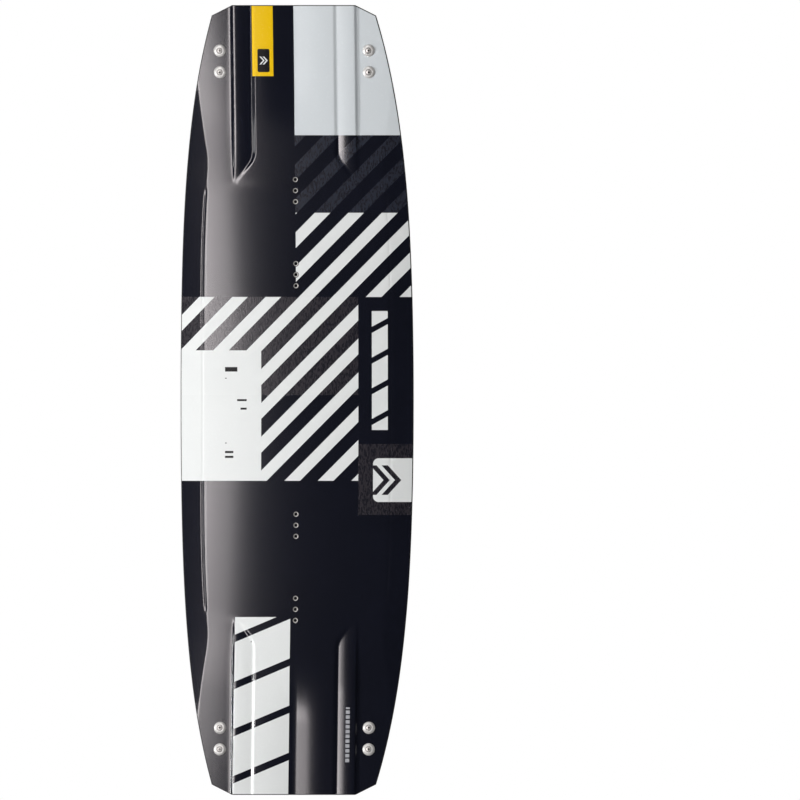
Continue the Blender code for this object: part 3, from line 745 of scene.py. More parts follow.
# ======== the graphics
NAVY = srgb(13, 15, 25)
CHARCOAL = srgb(50, 47, 52)
BLUE_CHARCOAL = srgb(42, 46, 57)
WHITE = srgb(228, 231, 230)
PALE = srgb(212, 218, 221)
YELLOW = srgb(236, 192, 0)
BLACK = srgb(12, 12, 14)
SLATE = srgb(72, 77, 88)
LIGHT_SLATE = srgb(88, 93, 104)
BASE_PALE = srgb(204, 205, 206)
BASE_WHITE = srgb(231, 230, 228)
SILVER = srgb(170, 172, 176)
SCUFFED = srgb(120, 120, 122)

DECK_PITCH = 59.2 * MM
DECK_SHARE = 0.468
DECK_START = -352.9 * MM
DECK_SLANT = 0.9945
BASE_PITCH = 59.1 * MM
BASE_SHARE = 0.462
BASE_START = 426.2 * MM
BASE_SLANT = 0.9765
SMALL_PRINTS = (  # left, right, low and high edges
    (-0.1265, -0.1045, 0.0500, 0.0580),
    (-0.1265, -0.1235, 0.0375, 0.0390),
    (-0.1050, -0.0880, -0.0020, 0.0015),
    (-0.0990, -0.0880, -0.0170, -0.0135),
    (-0.1265, -0.1235, -0.0765, -0.0750),
)
HATCH_PITCH = 2.4 * MM
TICK_PITCH = 8.5 * MM
CHEVRON_SLOPE = 0.9
SCUFF_REACH = 7 * MM
DECK_COAT = 0.25
PRINT_RELIEF = 0.05 * MM
LATHE_MARKS = 0.01 * MM


def slanted_blocks(x, z, left, right, low, high, pitch, share, lean):
    """A column of blocks with slanted ends, a plain stand-in for lettering along the board."""
    return both(rectangle(x, z, left, right, low, high), stripes(z - x * lean, low, pitch, share))


def chevrons(x, z, centre_x, centre_z, half_height, width, gap):
    """Two arrowheads that point along x."""
    bent = (x - centre_x) + maths("ABSOLUTE", z - centre_z) * CHEVRON_SLOPE
    inside = near(z, centre_z, half_height)
    return both(inside, either(near(bent, 0.0, width / 2), near(bent, width + gap, width / 2)))


def hatch(made):
    """Fine upright strokes, as in the textured areas of the print."""
    return smooth(made.noise(1.0 / HATCH_PITCH, 1.0, 0.5, (1.0, 1.0, 0.35)), 0.38, 0.62)


def ticks(z, share):
    """A column of short bars, a plain stand-in for small lettering."""
    return stripes(z, 0.0, TICK_PITCH, share)


def weave(made, pitch):
    """A twill cloth under the clear finish: tows in two directions, shifted from row to row."""
    rising = (made.x + made.z) * (1.0 / pitch)
    falling = (made.x - made.z) * (1.0 / pitch)
    first = maths("ABSOLUTE", maths("FRACT", rising) - 0.5) * 2.0
    second = maths("ABSOLUTE", maths("FRACT", falling) - 0.5) * 2.0
    step = maths("FRACT", (maths("FLOOR", rising) + maths("FLOOR", falling)) * 0.25)
    return first * under(step, 0.5) + second * over(step, 0.49)


def inked(colour, *inks):
    """The colour under prints that lie one over another: (mask, ink) for each."""
    for mask, ink in inks:
        colour = mixed(mask, colour, ink)
    return colour


def worn(made, colour):
    """The colour with scuffs near the outline, and how scuffed each place is."""
    near_edge = smooth(made.carried("from_edge"), 0.0, SCUFF_REACH, 1.0, 0.0)
    scuff = smooth(made.noise(38.0, 5.0, 0.7), 0.60, 0.75) * near_edge
    return mixed(scuff * 0.35, colour, SCUFFED), scuff


def deck_material():
    """The deck's print. Places are in metres; of a rectangle, its left, right, low and high edges."""
    made = Finish("deck_print", Coat_Weight=DECK_COAT, Coat_Roughness=0.09, Coat_IOR=1.5, IOR=1.5)
    x, z = made.x, made.z
    right = over(x, 0.0)
    diagonal = stripes(x - z * DECK_SLANT, DECK_START, DECK_PITCH, DECK_SHARE)
    tonal = both(right, near(z, 0.398, 0.0682), diagonal)
    zone_a = both(right, near(z, 0.2554, 0.0741))
    zone_b = both(under(x, 0.110), near(z, 0.0196, 0.1618))
    panel = both(under(x, -0.0621), near(z, -0.0274, 0.1148))
    white = either(both(either(zone_a, zone_b), diagonal), panel)
    charcoal = both(zone_b, over(z, 0.0088))
    dim_panel = both(over(x, 0.110), near(z, -0.1399, 0.0625))
    word = slanted_blocks(x, z, 0.1338, 0.1619, -0.0528, 0.1566, 0.0540, 0.80, 0.55)
    mark_panel = rounded(x, z, 0.1360, 0.3000, -0.1795, -0.1025, 0.010)
    mark = both(mark_panel, 1.0 - chevrons(x, z, 0.160, -0.141, 0.026, 0.011, 0.009))
    big = slanted_blocks(x, z, -0.107, -0.009, -0.700, -0.382, 0.0830, 0.84, 0.42)
    pale = both(right, over(z, 0.466))
    tab = rectangle(x, z, -0.074, -0.0365, 0.570, 0.700)
    badge = rounded(x, z, -0.0645, -0.0430, 0.577, 0.618, 0.003)
    badge_mark = chevrons(x, z, -0.0533, 0.5975, 0.0070, 0.0030, 0.0026)
    prints = either(
        *(rectangle(x, z, *place) for place in SMALL_PRINTS),
        both(near(x, -0.1190, 0.0075), near(z, -0.0955, 0.0105), ticks(z, 0.45)),
    )
    silver = both(rectangle(x, z, 0.0915, 0.0985, -0.638, -0.541), ticks(z, 0.72))

    grain = hatch(made)
    cloth = weave(made, 4.2 * MM)
    hatched = either(tonal, charcoal, dim_panel)
    light_ink = either(pale, white, word, mark, big, tab)
    strokes = grain * 0.8 + 0.2
    colour = mixed(smooth(made.noise(7.0), 0.3, 0.7), NAVY, srgb(15, 17, 28))
    colour = mixed(cloth * 0.25, colour, srgb(34, 36, 46))
    colour = inked(colour, (hatched * strokes, CHARCOAL), (tonal * strokes, BLUE_CHARCOAL), (pale, PALE))
    colour = inked(colour, (white, WHITE), (word, WHITE), (mark, WHITE), (big, WHITE), (tab, YELLOW))
    colour = inked(colour, (badge, BLACK), (badge_mark, WHITE), (prints, BLACK), (silver, SILVER))
    colour, scuff = worn(made, colour)
    mottle = made.noise(260.0)
    made.feed("Specular IOR Level", 0.42 + cloth * 0.16 - light_ink * 0.3)
    made.feed("Coat Weight", DECK_COAT - light_ink * DECK_COAT)
    roughness = 0.115 + mottle * 0.03 + scuff * 0.25 + hatched * 0.05 + light_ink * 0.14
    relief = (cloth * (1.0 - light_ink) * 0.06) + (grain * hatched * 0.5) + (mottle * 0.3)
    return made.done(colour, roughness, relief, PRINT_RELIEF, 0.6)


def base_material():
    """The base's print, with places as in the deck's."""
    made = Finish("base_print", Coat_Weight=0.1, Coat_Roughness=0.3, IOR=1.5)
    x, z = made.x, made.z
    left = over(x, 0.0)
    along = x + z * BASE_SLANT
    pale = both(left, over(z, 0.4636))
    tonal = both(left, near(z, 0.3952, 0.0678), stripes(along, BASE_START, BASE_PITCH, 0.5))
    stripe_zone = either(
        near(z, 0.2514, 0.0754),
        both(near(x, -0.0176, 0.0924), near(z, 0.0115, 0.1645)),
        both(under(x, -0.110), near(z, 0.1285, 0.0475)),
    )
    white = both(stripe_zone, stripes(along, BASE_START, BASE_PITCH, BASE_SHARE))
    side_panel = both(under(x, -0.110), near(z, -0.036, 0.117))
    mark_panel = rounded(x, z, -0.3000, -0.1373, -0.014, 0.056, 0.010)
    mark = both(mark_panel, 1.0 - chevrons(x, z, -0.168, 0.021, 0.021, 0.010, 0.008))
    word = slanted_blocks(x, z, 0.1082, 0.1672, -0.3256, 0.1443, 0.1180, 0.88, 0.40)
    title = slanted_blocks(x, z, -0.0906, -0.0360, 0.4629, 0.6370, 0.0440, 0.82, 0.42)
    dim_panel = both(over(x, -0.103), near(z, -0.152, 0.064))
    silver = both(rectangle(x, z, -0.103, -0.0924, -0.6406, -0.5509), ticks(z, 0.72))

    grain = hatch(made)
    speck = made.noise(420.0, 1.0)
    hatched = either(tonal, dim_panel)
    colour = mixed(smooth(made.noise(6.0), 0.3, 0.7), SLATE, srgb(69, 75, 86))
    colour = inked(colour, (hatched * (grain * 0.8 + 0.25), LIGHT_SLATE), (white, BASE_WHITE))
    colour = inked(colour, (side_panel, BASE_PALE), (mark, SLATE), (pale, BASE_PALE), (word, BASE_WHITE))
    colour = inked(colour, (title, BASE_PALE), (silver, SILVER))
    colour = mixed(smooth(speck, 0.55, 0.75, 0.0, 0.06), colour, srgb(20, 22, 26))
    colour, scuff = worn(made, colour)
    roughness = 0.36 + speck * 0.06 + scuff * 0.2 + hatched * 0.08
    return made.done(colour, roughness, (grain * hatched * 0.8) + (speck * 0.5), PRINT_RELIEF, 0.6)


def carbon_material():
    made = Finish("carbon_laminate", Coat_Weight=0.5, Coat_Roughness=0.1)
    cloth = weave(made, 4.0 * MM)
    colour = mixed(cloth, srgb(18, 18, 20), srgb(52, 53, 57))
    return made.done(colour, 0.32 + cloth * 0.12, cloth, 0.15 * MM)


def wood_material():
    made = Finish("paulownia")
    rings = made.noise(60.0, 6.0, 0.6, (1.0, 1.0, 0.05))
    fibres = made.noise(700.0, 3.0, 0.7, (1.0, 1.0, 0.03))
    colour = mixed(smooth(rings, 0.35, 0.7), srgb(214, 180, 134), srgb(170, 128, 84))
    colour = mixed(smooth(fibres, 0.45, 0.8, 0.0, 0.4), colour, srgb(120, 86, 54))
    return made.done(colour, 0.55 + fibres * 0.2, fibres, 0.1 * MM)


def rail_material():
    made = Finish("rail_plastic")
    speck = made.noise(900.0)
    scrape = smooth(made.noise(55.0, 5.0, 0.75, (1.0, 1.0, 0.35)), 0.58, 0.74)
    colour = mixed(scrape * 0.4, srgb(17, 17, 19), srgb(64, 65, 68))
    return made.done(colour, 0.42 + speck * 0.12 + scrape * 0.15, speck + scrape * 0.5, 0.04 * MM)


def metal_material(name, bright, dull, roughness, metallic=1.0):
    """Turned and passivated metal: fine lathe marks and slightly uneven tone."""
    made = Finish(name, Metallic=metallic)
    cloud = made.noise(160.0, 3.0)
    marks = made.noise(2600.0, 2.0, 0.6)
    colour = mixed(smooth(cloud, 0.35, 0.7), bright, dull)
    return made.done(colour, roughness + cloud * 0.10 + marks * 0.06, marks, LATHE_MARKS, 0.5)


def steel_with_painted_shade(name, bright):
    """Steel painted nearly black wherever the mesh marks painted shade: an insert's bore and rolled rim, a
    screw's cross recess and the seam round its head.
    """
    made = Finish(name, Metallic=0.6)
    painted_shade = made.carried("painted_shade")
    marks = made.noise(1800.0, 2.0, 0.6)
    # Painted shade: marked places take a near-black colour instead of the steel's own.
    colour = mixed(painted_shade, bright, srgb(22, 22, 24))
    return made.done(colour, 0.26 + marks * 0.10 + painted_shade * 0.2, marks, LATHE_MARKS, 0.5)


def fin_material():
    """White glass laminate, polished, with a faint cloth under the surface and scuffs."""
    made = Finish("fin_laminate", Coat_Weight=0.4, Coat_Roughness=0.12)
    cloth = weave(made, 2.6 * MM)
    rub = smooth(made.noise(70.0, 5.0, 0.7), 0.62, 0.78)
    colour = mixed(cloth * 0.35, srgb(238, 239, 237), srgb(222, 225, 224))
    colour = mixed(rub * 0.4, colour, srgb(188, 189, 190))
    return made.done(colour, 0.24 + cloth * 0.06 + rub * 0.2, cloth, 0.03 * MM)


DECK_FINISH = deck_material()
BASE_FINISH = base_material()
CARBON_FINISH = carbon_material()
WOOD_FINISH = wood_material()
RAIL_FINISH = rail_material()
WASHER_FINISH = metal_material("satin_nickel", srgb(238, 236, 233), srgb(222, 220, 217), 0.34, 0.4)
BRASS_FINISH = metal_material("brass", srgb(214, 180, 110), srgb(184, 148, 84), 0.26)
INSERT_FINISH = steel_with_painted_shade("insert_steel", srgb(215, 213, 210))
SCREW_FINISH = steel_with_painted_shade("screw_steel", srgb(215, 212, 208))
FIN_FINISH = fin_material()


# ======== the board's layers
CARBON = "carbon_laminate"


def deck_minus(depth):
    return lambda x, z: deck_height(x, z) - depth


def base_plus(depth):
    return lambda x, z: base_height(x, z) + depth


def carry_edge_distance(piece):
    """Stores each point's distance in from the outline, for wear along the edge."""
    mesh = piece.data
    points = np.empty(len(mesh.vertices) * 3)
    mesh.vertices.foreach_get("co", points)
    x, z = points[0::3], points[2::3]
    carry(piece, "from_edge", "POINT", np.minimum(side_x(z) - np.abs(x), end_z(x) - np.abs(z)))


def make_layers(drills, barrels):
    """The printed sheets and the carbon laminates under them, from the deck down."""
    laid_up = [
        ("deck_sheet", FINE, deck_minus(0), deck_minus(SHEET), DECK_FINISH, "deck_print"),
        ("top_laminate", PLAIN, deck_minus(LAMINATE_FROM), deck_minus(LAMINATE_TO), CARBON_FINISH, CARBON),
        ("bottom_laminate", PLAIN, base_plus(LAMINATE_TO), base_plus(LAMINATE_FROM), CARBON_FINISH, CARBON),
        ("base_sheet", FINE, base_plus(SHEET), base_plus(0), BASE_FINISH, "base_print"),
    ]
    for node, grid, upper, lower, finish, slot in laid_up:
        x, z = grid.whole(SHEET_INSET)
        piece = layer(f"{node}_fine", x, z, upper, lower, finish)
        cut(piece, [drills, barrels] if node in ("deck_sheet", "top_laminate") else [drills])
        carry_edge_distance(piece)
        standing_for(piece, node)


def make_staves(drills, barrels, flanges):
    """The core is glued from five staves. The outer two are cut to the outline."""
    joints = [-INFINITE, -OUTER_WALL[1], -PANEL_EDGE, PANEL_EDGE, OUTER_WALL[1], INFINITE]
    nodes = [f"core_stave_{part}" for part in ("left_outer", "left", "centre", "right", "right_outer")]
    upper, lower = deck_minus(UNDER_LAMINATE), base_plus(UNDER_LAMINATE)
    x, z = PLAIN.whole(CORE_INSET)
    middle = x[len(x) // 2]
    for node, low, high in zip(nodes, joints, joints[1:]):
        chosen = np.nonzero((middle > low - SAME_PLACE) & (middle < high + SAME_PLACE))[0]
        stave_x, stave_z = x[:, chosen].copy(), z[:, chosen]
        if low > -INFINITE:
            stave_x[:, 0] += GLUE / 2
        if high < INFINITE:
            stave_x[:, -1] -= GLUE / 2
        piece = layer(f"{node}_fine", stave_x, stave_z, upper, lower, WOOD_FINISH)
        if node.endswith("outer"):
            cut(piece, [drills])
        if node == "core_stave_centre":
            cut(piece, [barrels, flanges])
        standing_for(piece, node)


def rail_profile():
    """(inset, surface, step from it) around the rail: a tongue between the laminates, a rounded nose."""
    rounding = [
        (NOSE_ROUND * (1.0 - sin(radians(angle))), NOSE_ROUND * (1.0 - cos(radians(angle))))
        for angle in (0, 22.5, 45, 67.5, 90)
    ]
    upper = [(inset, deck_height, -NOSE_RECESS - drop) for inset, drop in rounding]
    lower = [(inset, base_height, NOSE_RECESS + drop) for inset, drop in reversed(rounding)]
    return [
        (RAIL_TONGUE, deck_height, -UNDER_LAMINATE),
        (RAIL_NOSE, deck_height, -UNDER_LAMINATE),
        (RAIL_NOSE, deck_height, -NOSE_RECESS),
        *upper,
        *lower,
        (RAIL_NOSE, base_height, NOSE_RECESS),
        (RAIL_NOSE, base_height, UNDER_LAMINATE),
        (RAIL_TONGUE, base_height, UNDER_LAMINATE),
    ]


def swept(name, sections, finish):
    """A closed bar through an array of sections: stations, corners, xyz."""
    stations, around, _ = sections.shape
    index = np.arange(stations * around).reshape(stations, around)
    nearer, further = index[:-1], index[1:]
    quads = np.stack([nearer, np.roll(nearer, -1, axis=1), np.roll(further, -1, axis=1), further], axis=-1)
    faces = quads.reshape(-1, 4).tolist()
    faces.append(index[0, ::-1].tolist())
    faces.append(index[-1].tolist())
    return add_object(name, sections.reshape(-1, 3).tolist(), faces, finish)


def make_rails():
    """Two side rails, and a tip rail across each end that meets them at the cut corners."""
    side, tip = [], []
    for inset, height, step in rail_profile():
        x, z = FINE.quarter(inset)
        y = CENTRE_HEIGHT - height(x, z) - step
        quarter = np.stack([x, y, z], axis=-1)
        side.append(quarter[:, -1])
        tip.append(quarter[-1])
    side, tip = (np.stack(lines, axis=1) for lines in (side, tip))
    for line in (side, tip):
        gap = np.linalg.norm(line[-1] - line[-2], axis=-1, keepdims=True)
        line[-1] += (line[-2] - line[-1]) * np.minimum(0.5, FIT / 2 / gap)
    over_middle = np.array([1, 1, -1])
    over_centre = np.array([-1, 1, 1])
    side = np.concatenate([side[:0:-1] * over_middle, side])
    tip = np.concatenate([tip[:0:-1] * over_centre, tip])
    for node, sections in (
        ("side_rail_right", side),
        ("side_rail_left", side * over_centre),
        ("tip_rail_upper", tip),
        ("tip_rail_lower", tip * over_middle),
    ):
        standing_for(swept(f"{node}_fine", sections, RAIL_FINISH), node)


# ======== fixings
def insert_frame(z):
    return deck_frame(0.0, z, INSERT_RADIUS)


def insert_rings():
    """Radii and height of every ring of points, from the foot over the rim and down the threaded bore."""
    outside = [
        (INSERT_RADIUS, -INSERT_LENGTH),
        (INSERT_RADIUS, -FLANGE_BOTTOM),
        (FLANGE_RADIUS, -FLANGE_BOTTOM),
        (FLANGE_RADIUS, -FLANGE_TOP),
        (INSERT_RADIUS, -FLANGE_TOP),
        (INSERT_RADIUS, -INSERT_RIM),
        *arc((INSERT_RADIUS - INSERT_RIM, -INSERT_RIM), INSERT_RIM, 20, 90, 4),
    ]
    mouth = [
        (INSERT_BORE + INSERT_MOUTH, 0.0),
        (INSERT_BORE + MOUTH_INNER * INSERT_MOUTH, -MOUTH_LOWER * INSERT_MOUTH),
    ]
    made = [([radius] * INSERT_SEGMENTS, height) for radius, height in outside + mouth]
    for row in range(THREAD_ROWS + 1):
        depth = INSERT_MOUTH + (INSERT_BORE_DEPTH - INSERT_MOUTH) * row / THREAD_ROWS
        fade = min(1.0, row / THREAD_FADE, (THREAD_ROWS - row) / THREAD_FADE)
        phases = [(depth / THREAD_PITCH + step / INSERT_SEGMENTS) % 1.0 for step in range(INSERT_SEGMENTS)]
        radii = [INSERT_BORE + THREAD_DEPTH * fade * (1.0 - abs(2.0 * phase - 1.0)) for phase in phases]
        made.append((radii, -depth))
    # The mouth's rings are the only ones left without painted shade.
    bright = range(len(outside) * INSERT_SEGMENTS, len(outside + mouth) * INSERT_SEGMENTS)
    return made, bright


def make_inserts():
    """Threaded inserts for the bindings: a rolled rim, a real thread in the bore and a flange in the core."""
    ring_shapes, bright = insert_rings()
    for number, station in enumerate(INSERT_STATIONS, start=1):
        frame_of = insert_frame(station)
        points, rings, faces = [], [], []
        for radii, height in ring_shapes:
            rings.append(range(len(points), len(points) + INSERT_SEGMENTS))
            points += circle(frame_of, radii, height)
        for first, second in zip(rings, rings[1:]):
            faces += band(first, second)
        for rim, height in ((rings[0], -INSERT_LENGTH), (rings[-1], -INSERT_BORE_DEPTH)):
            faces += [(here, after, len(points)) for here, after, _, _ in band(rim, rim)]
            points.append(frame_of @ Vector((0, 0, height)))
        piece = add_object(f"binding_insert_{number}_fine", points, faces, INSERT_FINISH)
        # Painted shade: all but the mouth's bevel is marked, so the threaded bore and the rolled rim are
        # painted dark.
        carry(piece, "painted_shade", "POINT", [point not in bright for point in range(len(points))])
        standing_for(piece, f"binding_insert_{number}")


def fin_frame(side, end):
    """A frame on the base under one fin: its Z leaves the base and its X runs towards the nearer tip."""
    tilt = rocker_tilt(FIN_MIDDLE)
    along = Vector((0, -sin(tilt), end * cos(tilt)))
    outwards = Vector((0, cos(tilt), end * sin(tilt)))
    sideways = outwards.cross(along)
    origin = place(side * FIN_X, end * FIN_MIDDLE, base_height(FIN_X, FIN_MIDDLE))
    turn = Matrix((along, sideways, outwards)).transposed().to_4x4()
    return Matrix.Translation(origin) @ turn


def fin_outline(level):
    """Where the fin's blade starts and ends along the board at a level from 0, its root, to 1, its edge."""
    lean = FIN_FORWARD_LEAN * level + FIN_SWEEP * level**FIN_SWEEP_POWER
    front = FIN_FROM - FIN_MIDDLE + (FIN_TO - FIN_FROM) * lean
    back = FIN_TO - FIN_MIDDLE - FIN_BACK_LEAN * level**FIN_BACK_POWER
    return front, back


def fin_half_thickness(level, share):
    """Half thickness of the foil at a share of the chord, from its leading edge to its trailing edge."""
    full = FIN_EDGE_THICKNESS + (FIN_ROOT_THICKNESS - FIN_EDGE_THICKNESS) * (1.0 - level) ** FIN_THINNING
    foil = min(1.0, FIN_FULLNESS * sqrt(share) * (1.0 - share) ** FIN_TAIL)
    return 0.5 * max(full * foil, FIN_LEAST_THICKNESS)


def make_fin(name, frame_of):
    """The blade is lofted from root to edge, and its outer edge is rounded over the last levels."""
    shares = [0.5 - 0.5 * cos(pi * step / FIN_CHORD_STEPS) for step in range(FIN_CHORD_STEPS + 1)]
    inverse = frame_of.inverted()
    points, rings = [], []
    for level in FIN_LEVELS:
        front, back = fin_outline(level)
        into_rounding = (max(level, FIN_ROUND_FROM) - FIN_ROUND_FROM) / FIN_ROUND_SPAN
        rounding = sqrt(max(FIN_LEAST_ROUND, 1.0 - into_rounding**2))
        lines = {1: [], -1: []}
        for side in lines:
            for share in shares:
                along = front + (back - front) * share
                world = frame_of @ Vector((along, 0, 0))
                root = (inverse @ place(world.x, world.z, base_height(world.x, world.z))).z + FIT
                out = root + (FIN_HEIGHT - root) * level
                half = fin_half_thickness(level, share) * rounding
                lines[side].append(frame_of @ Vector((along, side * half, out)))
        ring = lines[1] + lines[-1][::-1]
        rings.append(list(range(len(points), len(points) + len(ring))))
        points += ring
    faces = []
    for low, high in zip(rings, rings[1:]):
        faces += band(low, high)
    for ring in (rings[0], rings[-1]):
        for step in range(len(ring) // 2 - 1):
            faces.append((ring[step], ring[step + 1], ring[-2 - step], ring[-1 - step]))
    return add_object(name, points, faces, FIN_FINISH, FIN_SHARP)


def washer_profile():
    """A cup washer with a domed flank, a rolled top and a countersunk seat for the screw."""
    flank_height = WASHER_HEIGHT - WASHER_EDGE
    flank = [
        (WASHER_RADIUS - FLANK_WIDTH * share, WASHER_EDGE + flank_height * sin(share * pi / 2) ** FLANK_POWER)
        for share in WASHER_SHARES
    ]
    return [
        (WASHER_BORE, WASHER_SEAT),
        (WASHER_RADIUS - WASHER_CHAMFER[0], WASHER_SEAT),
        (WASHER_RADIUS, WASHER_SEAT + WASHER_CHAMFER[1]),
        *flank,
        (HEAD_RADIUS + 2 * FIT, WASHER_HEIGHT),
        (WASHER_BORE, WASHER_HEIGHT - WASHER_SINK),
    ]


def head_dome(radius):
    return WASHER_HEIGHT + DOME_TOP - DOME_FALL * (radius / HEAD_RADIUS) ** 2


def make_screw(name, into_fin, frame_of):
    """A countersunk screw with a domed head, a cross recess and a threaded shank."""
    dome = [(HEAD_RADIUS * share, head_dome(HEAD_RADIUS * share)) for share in DOME_SHARES]
    turns = []
    height = WASHER_HEIGHT - THREAD_TOP
    while height > -into_fin - THREAD_IN_FIN:
        turns += [(SHANK_RADIUS - SHANK_THREAD, height), (SHANK_RADIUS, height - SHANK_PITCH / 2)]
        height -= SHANK_PITCH
    profile = dome + [(SHANK_RADIUS, WASHER_HEIGHT - SHANK_TOP)] + turns + [(0, -into_fin - SCREW_IN_FIN)]
    screw = turned(name, profile, SCREW_SEGMENTS, SCREW_FINISH, Matrix.Identity(4))
    recess = cross_cutter("cross_recess")
    cut(screw, [recess])
    throw_away([recess])
    # Painted shade: faces in the cross recess and below the dome, and a ring at the head's rim where it meets
    # the washer, are marked to be painted dark.
    painted_shade = []
    for face in screw.data.polygons:
        radius = face.center.xy.length
        painted_shade.append(face.center.z < head_dome(radius) - SHADED_UNDER or radius > HEAD_SEAM * HEAD_RADIUS)
    carry(screw, "painted_shade", "FACE", painted_shade)
    screw.data.transform(frame_of)
    return screw


def cross_cutter(name):
    """A tapered cross that stands in the screw's head."""
    points = []
    arm = [(1, 1), (CROSS_REACH, 1), (CROSS_REACH, -1)]
    outline = arm + [(y, -x) for x, y in arm] + [(-x, -y) for x, y in arm] + [(-y, x) for x, y in arm]
    for height, half in zip(CROSS_HEIGHTS, CROSS_HALF):
        points += [Vector((x * half, y * half, height)) for x, y in outline]
    count = len(outline)
    low, high = range(count), range(count, 2 * count)
    faces = [*band(low, high), tuple(reversed(low)), tuple(high)]
    return add_object(name, points, faces, bpy.data.materials.new(name))


def corners():
    """(label, side, end) of the four fins, where side -1 is the left and end 1 the upper one."""
    for end_name, end in (("upper", 1), ("lower", -1)):
        for side_name, side in (("left", -1), ("right", 1)):
            yield f"{end_name}_{side_name}", side, end


def fixing_places():
    """(label, x, z) of the eight screws."""
    return [
        (f"{corner}_{number}", side * FIN_X, end * z)
        for corner, side, end in corners()
        for number, z in enumerate(FIN_SCREWS, start=1)
    ]


def board_thickness(x, z):
    return float(deck_height(x, z) - base_height(x, z)) * cos(rocker_tilt(z))


def under_fin_root(x, z):
    """How far under the deck the fin's insert begins."""
    return board_thickness(x, z) + FIT + PLATE_ROOM


def make_fixings():
    for label, x, z in fixing_places():
        top = deck_frame(x, z, WASHER_RADIUS)
        washer = turned(f"cup_washer_{label}_fine", washer_profile(), WASHER_SEGMENTS, WASHER_FINISH, top)
        standing_for(washer, f"cup_washer_{label}")
        screw = make_screw(f"fin_screw_{label}_fine", under_fin_root(x, z), top)
        standing_for(screw, f"fin_screw_{label}")


def make_fins():
    for corner, side, end in corners():
        fin = make_fin(f"fin_{corner}_fine", fin_frame(side, end))
        pockets = []
        for x, z in [(side * FIN_X, end * along) for along in FIN_SCREWS]:
            bottom = -under_fin_root(x, z) - FIN_INSERT_LENGTH - FIT
            pockets.append((deck_frame(x, z, WASHER_RADIUS), FIN_INSERT_RADIUS + FIN_POCKET_ROOM, bottom, MM))
        tool = rods("fin_pockets", pockets, DRILL_SEGMENTS)
        cut(fin, [tool], FIN_SHARP)
        throw_away([tool])
        standing_for(fin, f"fin_{corner}")


def make_board():
    """The layers and staves, with the holes for the screws and the inserts drilled through them."""
    drilled = [
        (deck_frame(x, z, WASHER_RADIUS), SHANK_RADIUS + FIT, -board_thickness(x, z) - DRILL_ROOM, DRILL_ROOM)
        for _, x, z in fixing_places()
    ]
    drills = rods("drills", drilled, DRILL_SEGMENTS)
    seats = []
    for tool, radius, depth in (
        ("barrels", INSERT_RADIUS, INSERT_LENGTH),
        ("flanges", FLANGE_RADIUS, FLANGE_BOTTOM),
    ):
        holes = [(insert_frame(z), radius + FIT, -depth - FIT, DRILL_ROOM) for z in INSERT_STATIONS]
        seats.append(rods(tool, holes, INSERT_SEGMENTS))
    barrels, flanges = seats
    make_layers(drills, barrels)
    make_staves(drills, barrels, flanges)
    throw_away([drills, barrels, flanges])


make_board()
make_rails()
make_inserts()
make_fixings()
make_fins()
for name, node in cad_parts.items():
    if name.startswith("fin_insert"):
        node.data.materials.clear()
        node.data.materials.append(BRASS_FINISH)


# ======== studio
VIEW_AZIMUTH = radians(7)
CAMERA_AWAY = 4.0
PICTURE_WIDTH = 1.408
PICTURE_SHIFT = 0.184
FLOOR_REACH = 12.0
FLOOR_DROP = 0.1 * MM
SOFT_LIGHT = 0.10
SOFT_LIGHT_REFLECTED = 0.02
SHEEN_TINT = (1.0, 0.94, 0.95)
SHEEN_AWAY = -3.0
SHEEN_SIZE = (0.18, 0.6)
BASE_LIGHT_AT = (2.2, 2.0, 0.0)


def paper_material():
    made = Finish("floor_paper", Roughness=0.9, Specular_IOR_Level=0.1)
    paper = (0.86, 0.86, 0.86)
    made.feed("Base Color", mixed(made.noise(3.0) * 0.3, paper, tuple(part * 0.97 for part in paper)))
    return made.material


def make_floor():
    mesh = bpy.data.meshes.new("floor")
    level = CAD_BOX[0].z - FLOOR_DROP
    signs = [(-1, -1), (1, -1), (1, 1), (-1, 1)]
    mesh.from_pydata([(x * FLOOR_REACH, y * FLOOR_REACH, level) for x, y in signs], [], [(0, 1, 2, 3)])
    mesh.materials.append(paper_material())
    floor = put_in("floor", mesh)
    floor.visible_glossy = False


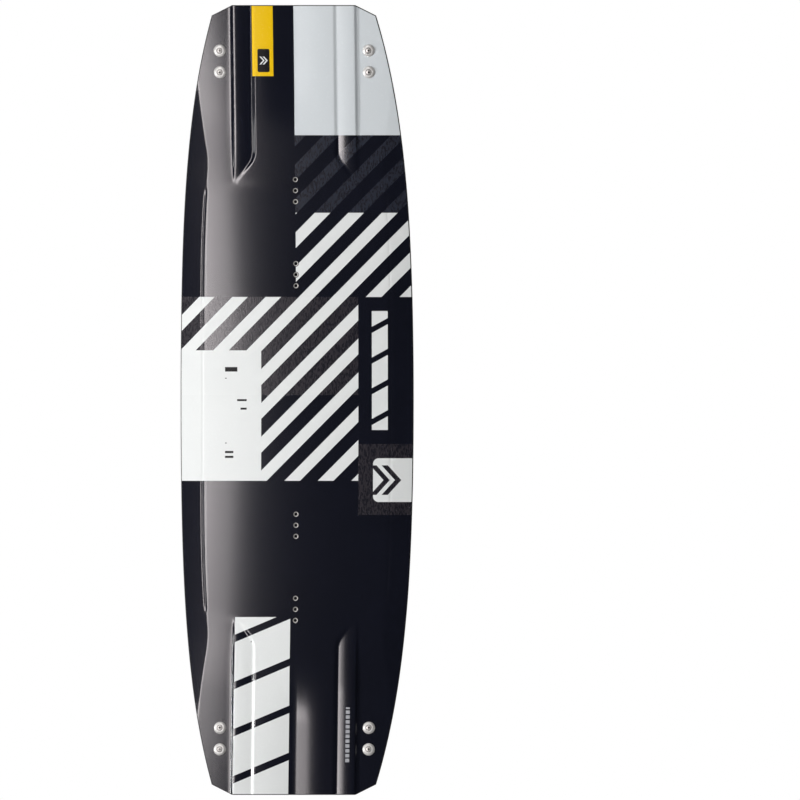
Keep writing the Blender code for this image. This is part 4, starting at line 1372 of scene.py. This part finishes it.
def make_world():
    """White behind the object, a soft grey all round for diffuse light, and dark in reflections."""
    world = bpy.data.worlds.new("studio")
    bpy.context.scene.world = world
    world.use_nodes = True
    tree = world.node_tree
    background = tree.nodes["Background"]
    path = tree.nodes.new("ShaderNodeLightPath")
    glossy = tree.nodes.new("ShaderNodeMix")
    glossy.inputs[2].default_value = SOFT_LIGHT
    glossy.inputs[3].default_value = SOFT_LIGHT_REFLECTED
    tree.links.new(path.outputs["Is Glossy Ray"], glossy.inputs[0])
    seen = tree.nodes.new("ShaderNodeMix")
    seen.inputs[3].default_value = 1.0
    tree.links.new(path.outputs["Is Camera Ray"], seen.inputs[0])
    tree.links.new(glossy.outputs[0], seen.inputs[2])
    tree.links.new(seen.outputs[0], background.inputs["Strength"])
    background.inputs["Color"].default_value = (1, 1, 1, 1)


def area_light(name, position, size, power, colour=(1, 1, 1)):
    """A softbox at a position, turned towards the middle of the board."""
    data = bpy.data.lights.new(name, "AREA")
    data.shape = "RECTANGLE"
    data.size, data.size_y = size
    data.energy = power
    data.color = colour
    light = put_in(name, data)
    light.location = position
    light.rotation_euler = (-Vector(position)).to_track_quat("-Z", "Y").to_euler()
    return light


def make_lights():
    """Softboxes whose reflection makes the deck's sheen, a raking key, fills, and lights behind."""
    for name, x, z, power in (
        ("sheen_low_near", -0.82, -0.3, 3.2),
        ("sheen_high_near", -0.82, 0.3, 0.7),
        ("sheen_low_middle", -1.00, -0.3, 5.2),
        ("sheen_high_middle", -1.00, 0.3, 2.3),
        ("sheen_high_far", -1.19, 0.3, 6.0),
    ):
        area_light(name, (x, SHEEN_AWAY, z), SHEEN_SIZE, power, SHEEN_TINT)
    for name, position, side, power in (
        ("key", (-1.9, -1.15, -0.3), 0.2, 27.0),
        ("key_far", (-2.4, -1.8, -0.3), 0.6, 8.0),
        ("fill_front", (-0.6, -2.6, 2.4), 1.2, 34.0),
        ("base_key", BASE_LIGHT_AT, 0.3, 70.0),
        ("base_glint", BASE_LIGHT_AT, 0.3, 22.0),
    ):
        light = area_light(name, position, (side, side), power)
        light.visible_glossy = name != "base_key"


def make_camera():
    data = bpy.data.cameras.new("camera")
    data.type = "ORTHO"
    data.ortho_scale = PICTURE_WIDTH
    data.clip_end = 20.0
    camera = put_in("camera", data)
    right = Vector((cos(VIEW_AZIMUTH), sin(VIEW_AZIMUTH), 0))
    back = Vector((sin(VIEW_AZIMUTH), -cos(VIEW_AZIMUTH), 0))
    camera.location = right * PICTURE_SHIFT + back * CAMERA_AWAY
    camera.rotation_euler = (pi / 2, 0, VIEW_AZIMUTH)
    bpy.context.scene.camera = camera


make_floor()
make_world()
make_lights()
make_camera()
bpy.context.scene.view_settings.view_transform = "Standard"
